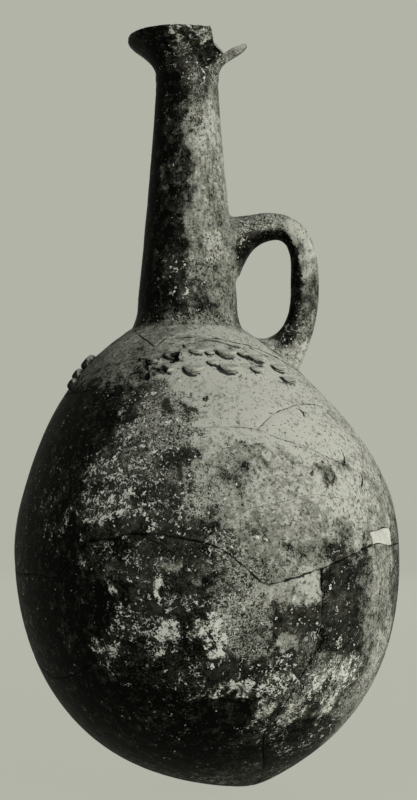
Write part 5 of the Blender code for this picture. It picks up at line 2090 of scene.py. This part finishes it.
def luted(rows: np.ndarray, distance: Callable[[np.ndarray], np.ndarray],
          normals: Callable[[np.ndarray], np.ndarray], fillet: tuple[float, float], sink: float,
          count: int = 14) -> np.ndarray:
    """Draw a tube's end out into a fillet over the form that it is luted to.

    Args:
        rows: The tube's rings from inside the form outwards, as rings, sides and axes.
        distance: Gives the distance of points outside the form.
        normals: Gives the form's outward direction at points.
        fillet: Length of the fillet along the tube and over the form.
        sink: How deep the fillet's edge lies under the form's skin.
        count: Number of rings in the fillet.

    Returns:
        The new rings: one inside the form, the fillet, then the tube.
    """
    away = distance(rows.reshape(-1, 3)).reshape(rows.shape[:2])
    crossings, paths, centres = [], [], []
    for side in range(rows.shape[1]):
        line = rows[:, side]
        first = max(int(np.argmax(away[:, side] > 0.0)), 1)
        share = away[first - 1, side] / (away[first - 1, side] - away[first, side])
        crossing = line[first - 1] + share * (line[first] - line[first - 1])
        path = np.concatenate([crossing[None], line[first:]])
        lengths = lengths_along(path)
        spots = np.linspace(fillet[0], lengths[-1], len(rows))
        paths.append(np.stack([np.interp(spots, lengths, path[:, axis]) for axis in range(3)], axis=1))
        crossings.append(crossing)
        centres.append(rows[first].mean(axis=0))
    tube = np.stack(paths, axis=1)
    crossing = np.array(crossings)
    normal = normals(crossing)
    outwards = crossing - np.array(centres)
    outwards = unit(outwards - normal * np.einsum("ij,ij->i", outwards, normal)[:, None])
    edge = crossing + outwards * fillet[1]
    for _ in range(3):
        edge = edge - normals(edge) * (distance(edge) + sink)[:, None]
    inside = edge - normals(edge) * 0.004 - outwards * 0.003
    t = np.linspace(0.0, 1.0, count)[:, None, None]
    curve = (1.0 - t) ** 2 * edge + 2.0 * t * (1.0 - t) * crossing + t * t * tube[0]
    return np.concatenate([inside[None], curve, tube[1:]])


@dataclass
class Handle:
    """The round handle, luted to the neck and thrust through the shoulder by its tenon."""

    neck: Neck
    skin: BVHTree
    form: BodyForm = FORM
    radius: float = 0.0091
    root_height: float = 0.0662
    root_slope: float = math.radians(9.5)
    root_pull: float = 0.0290
    crest_pull: float = 0.0540
    span: float = 0.0532
    drop: float = 0.0397
    fall_pull: float = 0.0205
    foot_pull: float = 0.0187
    foot_latitude: float = 66.8
    foot_slope: float = math.radians(61.2)
    root_swell: float = 0.0124
    root_fade: float = 0.0116
    foot_swell: float = 0.0110
    foot_fade: float = 0.0142
    crest_swell: float = 0.0011
    crest_fade: float = 0.0200
    side_swell: float = 0.45
    tenon_radius: float = 0.0080
    seat_radius: float = 0.0160
    wad_radius: float = 0.0165
    wad_height: float = 0.0052
    root_fillet: tuple[float, float] = (0.0050, 0.0062)
    foot_fillet: tuple[float, float] = (0.0055, 0.0060)
    steps: int = 110
    sides: int = 96
    sink: float = 0.0004
    # How dark the painted shade on the inner side of the bend is, and where tones and unevenness fade at the ends
    inner_shade: float = 0.98
    inner_shade_turn: tuple[float, float] = (0.20, 0.75)
    inner_shade_fade: tuple[float, float] = (0.0040, 0.0160)
    blend_fade: tuple[float, float] = (0.0010, 0.0100)
    end_fade: tuple[float, float] = (0.0040, 0.0140)

    def foot(self) -> HandleFoot:
        """Where and how the handle enters the shoulder."""
        place, normal = surface_point(self.skin, self.form, 90.0, self.foot_latitude)
        return HandleFoot(place, normal, self.foot_slope)

    def seat(self) -> tuple[Vector, float]:
        """Centre and radius of the place where the handle is luted to the shoulder."""
        return self.foot().place, self.seat_radius

    def route(self) -> np.ndarray:
        """Centre line from inside the neck to inside the shoulder, as x and z.

        Returns:
            The points of the line.
        """
        foot = self.foot()
        outer = self.neck.outer(200)
        root_radius = float(np.interp(self.root_height, outer[::-1, 1], outer[::-1, 0]))
        root = np.array([self.form.neck_axis + root_radius, self.form.height + self.root_height])
        crest = root + (self.span, -self.drop)
        inward = np.array([foot.inward.x, foot.inward.z])
        end = np.array([foot.place.x, foot.place.z])
        rise = np.array([math.cos(self.root_slope), math.sin(self.root_slope)])
        upper = bezier(root, root + rise * self.root_pull, crest + (0.0, self.crest_pull), crest, self.steps)
        lower = bezier(crest, crest - (0.0, self.fall_pull), end - inward * self.foot_pull, end, self.steps)
        return np.concatenate([[root - rise * foot.embed], upper, lower[1:], [end + inward * foot.embed]])

    def from_neck(self, points: np.ndarray) -> np.ndarray:
        """Distance of each point outside the neck."""
        outer = self.neck.outer(200)
        radius = np.interp(points[:, 2] - self.form.height, outer[::-1, 1], outer[::-1, 0])
        return np.hypot(points[:, 0] - self.form.neck_axis, points[:, 1]) - radius

    def neck_normals(self, points: np.ndarray) -> np.ndarray:
        """Outward direction of the neck at each point."""
        away = points - (self.form.neck_axis, 0.0, 0.0)
        away[:, 2] = 0.0
        return unit(away)

    def from_shoulder(self, points: np.ndarray) -> np.ndarray:
        """Distance of each point outside the shoulder."""
        return -self.form.skin_depth(points)

    def build(self, studio: Studio) -> None:
        """Build, paint, weather and hand over the handle.

        Args:
            studio: The made trees and materials.
        """
        route = self.route()
        middle = route[1:-1]
        lengths = lengths_along(middle)
        swell = self.root_swell * np.exp(-lengths / self.root_fade)
        swell += self.foot_swell * np.exp((lengths - lengths[-1]) / self.foot_fade)
        swell += self.crest_swell * np.exp(-((lengths - lengths[self.steps - 1]) / self.crest_fade) ** 2)
        swell = np.concatenate([swell[:1], swell, swell[-1:]])
        tangent = unit(np.gradient(route, axis=0))
        inner_side = np.stack([tangent[:, 1], np.zeros(len(route)), -tangent[:, 0]], axis=1)
        centre = np.stack([route[:, 0], np.zeros(len(route)), route[:, 1]], axis=1) + inner_side * swell[:, None]
        angle = np.linspace(0.0, math.tau, self.sides, endpoint=False)
        thick = (self.radius + swell)[:, None, None]
        wide = (self.radius + self.side_swell * swell)[:, None, None]
        rings = (
            centre[:, None] + inner_side[:, None] * thick * np.cos(angle)[None, :, None]
            + np.array([0.0, 1.0, 0.0]) * wide * np.sin(angle)[None, :, None]
        )
        half = len(rings) // 2
        edge = self.sink + 0.0003
        upper = luted(rings[:half], self.from_neck, self.neck_normals, self.root_fillet, edge)
        lower = luted(rings[half:][::-1], self.from_shoulder, self.form.outwards, self.foot_fillet, edge)
        rings = np.concatenate([upper, lower[::-1]])
        last = (len(rings) - 1) * self.sides
        faces = [*ring_faces(len(rings), self.sides), tuple(range(self.sides))[::-1],
                 tuple(range(last, last + self.sides))]
        handle = outward(linked("fired_handle", mesh_from("fired_handle", rings.reshape(-1, 3), faces=faces)))
        neck_outer = self.neck.outer(80) - (self.sink, 0.0)
        neck_solid = studio.turned("neck_seat", self.neck.placed(np.concatenate([
            [(0.0, neck_outer[0, 1])], neck_outer, [(0.0, neck_outer[-1, 1])],
        ])), 200)
        shoulder_profile = offset(self.form.outer(70, 40), -self.sink)
        shoulder = studio.turned("shoulder_seat", self.form.section(np.concatenate([
            [(0.0, shoulder_profile[0, 1])], shoulder_profile,
        ])), 300)
        cut_all(handle, [neck_solid, shoulder])
        foot = self.foot()
        tenon = bar("tenon", self.tenon_radius, foot.outside, foot.tip, 72)
        cut(handle, tenon, "UNION")
        settle(handle)
        discard(tenon)
        self.dress(studio, handle, middle, inner_side[1:-1])

    def dress(self, studio: Studio, handle: bpy.types.Object, middle: np.ndarray, inner_side: np.ndarray) -> None:
        """Paint, weather and hand over the handle.

        Args:
            studio: The made trees and materials.
            handle: The handle's object.
            middle: Its centre line from the neck to the shoulder, as x and z.
            inner_side: Direction to the inner side of the bend at each point of that line.
        """
        lengths = lengths_along(middle)
        points = coordinates(handle.data)
        flat = points[:, [0, 2]]
        nearest = np.array([np.argmin(np.sum((middle - point) ** 2, axis=1)) for point in flat])
        away = points - np.stack([middle[nearest, 0], np.zeros(len(points)), middle[nearest, 1]], axis=1)
        outward_at = unit(away)
        skin = self.form.skin_depth(points) < 0.0
        layers = layers_for(points, HANDLE_BASE, HANDLE_PATCHES, outward_at)
        # Painted shade: the inner side of the bend is given nearly black slip, fading out towards the shoulder
        inner = smoothstep(np.einsum("ij,ij->i", outward_at, inner_side[nearest]), *self.inner_shade_turn)
        inner *= smoothstep(self.from_shoulder(points), *self.inner_shade_fade)
        layers["dark"] += (self.inner_shade - layers["dark"]) * inner
        near_neck = 1.0 - smoothstep(self.from_neck(points), *self.blend_fade)
        near_shoulder = 1.0 - smoothstep(self.from_shoulder(points), *self.blend_fade)
        for share, base, patches, away in (
            (near_neck, NECK_BASE, UPPER_SKIN, self.neck_normals(points)),
            (near_shoulder, BODY_BASE, BODY_SKIN, self.form.outwards(points)),
        ):
            for name, layer in layers_for(points, base, patches, away).items():
                layers[name] += (layer - layers[name]) * share
        paint_layers(handle.data, layers, skin)
        along = lengths[nearest]
        exposed = smoothstep(along, *self.end_fade) * smoothstep(lengths[-1] - along, *self.end_fade)
        studio.weather(handle, "handle", Slot.MID, {
            "exposed": exposed * skin, "rough": self.neck.smooth_wear, "broken": 0.0,
            "inward": -vertex_normals(handle.data),
        }, {"Unevenness": 0.0009, "Unevenness Size": 0.022, "Seed": 9.0})

    def build_wad(self, studio: Studio) -> None:
        """Build and hand over the clay wad pressed round the tenon inside the shoulder.

        Args:
            studio: The made trees and materials.
        """
        foot = self.foot()
        work = bmesh.new()
        bmesh.ops.create_uvsphere(work, u_segments=72, v_segments=36, radius=1.0)
        size = (self.wad_radius, self.wad_radius, self.wad_height)
        wad = placed_solid("fired_handle_wad", work, foot.inner_place, foot.normal, size)
        seat = seated_wall(studio, self.form, self.sink)
        cut_all(wad, [seat, bar("wad_hole", self.tenon_radius + self.neck.gap, foot.outside, foot.inside, 72)])
        points = coordinates(wad.data)
        paint_layers(wad.data, layers_for(points, HANDLE_BASE, [], points), np.zeros(len(points), dtype=bool))
        studio.cover(wad, "handle_wad", Slot.MID)


@dataclass
class ScaleRelief:
    """Clay scales and knobs laid on the shoulder, each pressed down by the maker's finger.

    Attributes are in metres and radians; pale_from is the azimuth from which the clay is pale.
    """

    skin: BVHTree
    form: BodyForm = FORM
    thickness: float = 0.0025
    tilt: float = math.radians(28.0)
    lip: float = 0.30
    dish: float = 0.0012
    bluntness: float = 0.70
    knob_thickness: float = 0.0056
    knob_dish: float = 0.0016
    knob_pale: float = 0.6
    sink: float = 0.0004
    pale_from: float = -15.0

    def frame(self, azimuth: float, latitude: float) -> tuple[Vector, Vector, Vector, Vector]:
        """Place, outward, downhill and leftward directions of a lump."""
        place, normal = surface_point(self.skin, self.form, azimuth, latitude)
        downhill = (Vector((0.0, 0.0, -1.0)) + normal * normal.z).normalized()
        return place, normal, downhill, downhill.cross(normal)

    def hollows(self) -> list[Hollow]:
        """Where shade is painted, with dark earth, in and beside the lumps."""
        found = []
        for node, (azimuth, latitude, radius) in RELIEF.items():
            place, normal, downhill, across = self.frame(azimuth, latitude)
            found.append(Hollow(np.array(place), np.array(downhill), np.array(across), np.array(normal), radius,
                                "knob" in node))
        return found

    def build(self, studio: Studio, hollows: Sequence[Hollow]) -> None:
        """Build, paint and hand over every scale and knob.

        Args:
            studio: The made trees and materials.
            hollows: Where shade is painted, with dark earth, round them.
        """
        seat = seated_wall(studio, self.form, self.sink)
        for seed, (node, (azimuth, latitude, radius)) in enumerate(RELIEF.items()):
            knob = "knob" in node
            lump = linked("fired_" + node, mesh_from(node, [(0.0, 0.0, 0.0)]))
            run_tree(lump, studio.pressing, {
                "Radius": radius, "Thickness": self.knob_thickness if knob else self.thickness,
                "Tilt": 0.0 if knob else self.tilt, "Lip": 0.0 if knob else self.lip,
                "Dish": self.knob_dish if knob else self.dish, "Bluntness": 0.8 if knob else self.bluntness,
                "Seed": float(seed),
            })
            place, normal, downhill, across = self.frame(azimuth, latitude)
            local = coordinates(lump.data)
            frame = np.array([across, downhill, normal])
            move_vertices(lump.data, local @ frame + np.array(place))
            outward(lump)
            cut(lump, seat)
            settle(lump)
            points = coordinates(lump.data)
            layers = layers_for(points, BODY_BASE, BODY_SKIN, self.form.outwards(points))
            depth = self.form.skin_depth(points)
            dirt = hollow_shade_and_dirt(points, hollows)
            if knob:
                layers["pale"] += self.knob_pale * (1.0 - layers["pale"])
                layers["dark"] *= 1.0 - self.knob_pale
            else:
                # Painted shade on a scale only where it meets the wall, in its lower-left rim
                dirt *= smoothstep(depth, -0.0010, -0.0004)
                dirt = np.maximum(dirt, hollows[seed].dirt(points) * smoothstep(depth, -0.0019, -0.0010))
            paint_layers(lump.data, layers, np.ones(len(points), dtype=bool), dirt)
            studio.cover(lump, node, Slot.PALE if azimuth > self.pale_from else Slot.MID)
        discard(seat)


# Camera, floor and light


def seen_ray(tree: bpy.types.NodeTree) -> bpy.types.NodeSocket:
    """1 for a ray by which the camera sees a surface, straight on or in a gloss or glass."""
    add = partial(add_node, tree)
    path = add("LightPath").node.outputs
    mirrored = add("Math MAXIMUM", path["Is Glossy Ray"], path["Is Transmission Ray"])
    return add("Math MAXIMUM", path["Is Camera Ray"], mirrored)


def flat_finish(name: str, code: str, glow: float) -> bpy.types.Material:
    """Matt paper that shows its colour to the camera and takes the object's shadow.

    Args:
        name: The material's name.
        code: The colour as sRGB hex.
        glow: Share of the colour that the camera sees unshaded.

    Returns:
        The material.
    """
    material = bpy.data.materials.new(name)
    material.use_nodes = True
    tree = material.node_tree
    tree.nodes.clear()
    add = partial(add_node, tree)
    paper = add("BsdfDiffuse", {"Color": linear(code)})
    shine = add("Emission", {"Color": linear(code), "Strength": 1.0})
    share = add("Math MULTIPLY", seen_ray(tree), glow)
    shown = add("MixShader", share, paper, shine)
    add("OutputMaterial", shown)
    return material


def make_stage(name: str = "floor", code: str = "#b6b8ac", reach: float = 4.0, sides: int = 96) -> None:
    """Build the pale floor."""
    rim = [(reach * math.cos(math.tau * side / sides), reach * math.sin(math.tau * side / sides), 0.0)
           for side in range(sides)]
    stage = linked(name, mesh_from(name, rim, faces=[tuple(range(sides))]))
    stage.data.materials.append(flat_finish("matt_paper", code, 0.94))


def area_lamp(name: str, place: Sequence[float], size: float, watts: float, aim: Sequence[float]) -> None:
    """A square soft lamp aimed at a point.

    Args:
        name: The lamp's name.
        place: Where it stands.
        size: Length of its side.
        watts: Its power.
        aim: The point that it faces.
    """
    lamp = bpy.data.lights.new(name, "AREA")
    lamp.size = size
    lamp.energy = watts
    obj = bpy.data.objects.new(name, lamp)
    bpy.context.scene.collection.objects.link(obj)
    obj.location = place
    obj.rotation_euler = (Vector(aim) - Vector(place)).to_track_quat("-Z", "Y").to_euler()


def make_light() -> None:
    """Set the soft key lamp high on the right, weak lamps round about, and the room's light."""
    aim = (0.0, 0.0, 0.28)
    area_lamp("key_lamp", (0.98, -1.02, 0.80), 0.55, 16.2, aim)
    area_lamp("fill_lamp", (-0.95, -1.15, 0.35), 0.9, 3.4, aim)
    area_lamp("low_lamp", (1.25, -0.40, 0.04), 0.6, 2.6, (0.0, 0.0, 0.15))
    area_lamp("side_lamp", (1.35, 0.50, 0.28), 0.7, 6.0, (0.0, 0.0, 0.20))
    area_lamp("back_lamp", (0.15, 1.50, 0.80), 0.9, 12.0, aim)
    world = bpy.data.worlds.new("room")
    bpy.context.scene.world = world
    world.use_nodes = True
    tree = world.node_tree
    tree.nodes.clear()
    add = partial(add_node, tree)
    room = add("Background", {"Color": linear("#ffffff"), "Strength": 0.06})
    backdrop = add("Background", {"Color": linear("#b2b4a8"), "Strength": 1.0})
    shown = add("MixShader", seen_ray(tree), room, backdrop)
    add("OutputWorld", shown)


def make_camera() -> None:
    """Set the level camera at the photograph's angle."""
    data = bpy.data.cameras.new("camera")
    data.lens = 64.35
    data.sensor_width = 36.0
    data.shift_y = 0.05875
    data.clip_start = 0.01
    camera = bpy.data.objects.new("camera", data)
    bpy.context.scene.collection.objects.link(camera)
    camera.location = (0.0012, -1.001, 0.2366)
    camera.rotation_euler = (math.radians(90.0), 0.0, 0.0)
    bpy.context.scene.camera = camera


def main() -> None:
    """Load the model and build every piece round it."""
    logging.basicConfig(level=logging.INFO, format="%(message)s")
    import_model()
    make_camera()
    make_stage()
    make_light()
    studio = Studio()
    studio.prepare()
    skin = skin_tree(studio, FORM)
    neck = Neck()
    handle = Handle(neck, skin)
    wall = BodyWall()
    pieces = wall.sherds(studio, handle.foot(), skin)
    relief = ScaleRelief(skin)
    hollows = relief.hollows()
    seats = [(hollow.place, hollow.radius) for hollow in hollows] + [neck.seat(), handle.seat()]
    wall.dress(studio, pieces, skin, hollows, seats)
    neck.build(studio)
    Mouth(neck).build(studio)
    handle.build(studio)
    handle.build_wad(studio)
    relief.build(studio, hollows)
    bpy.context.scene.view_settings.view_transform = "Standard"


if __name__ == "__main__":
    main()
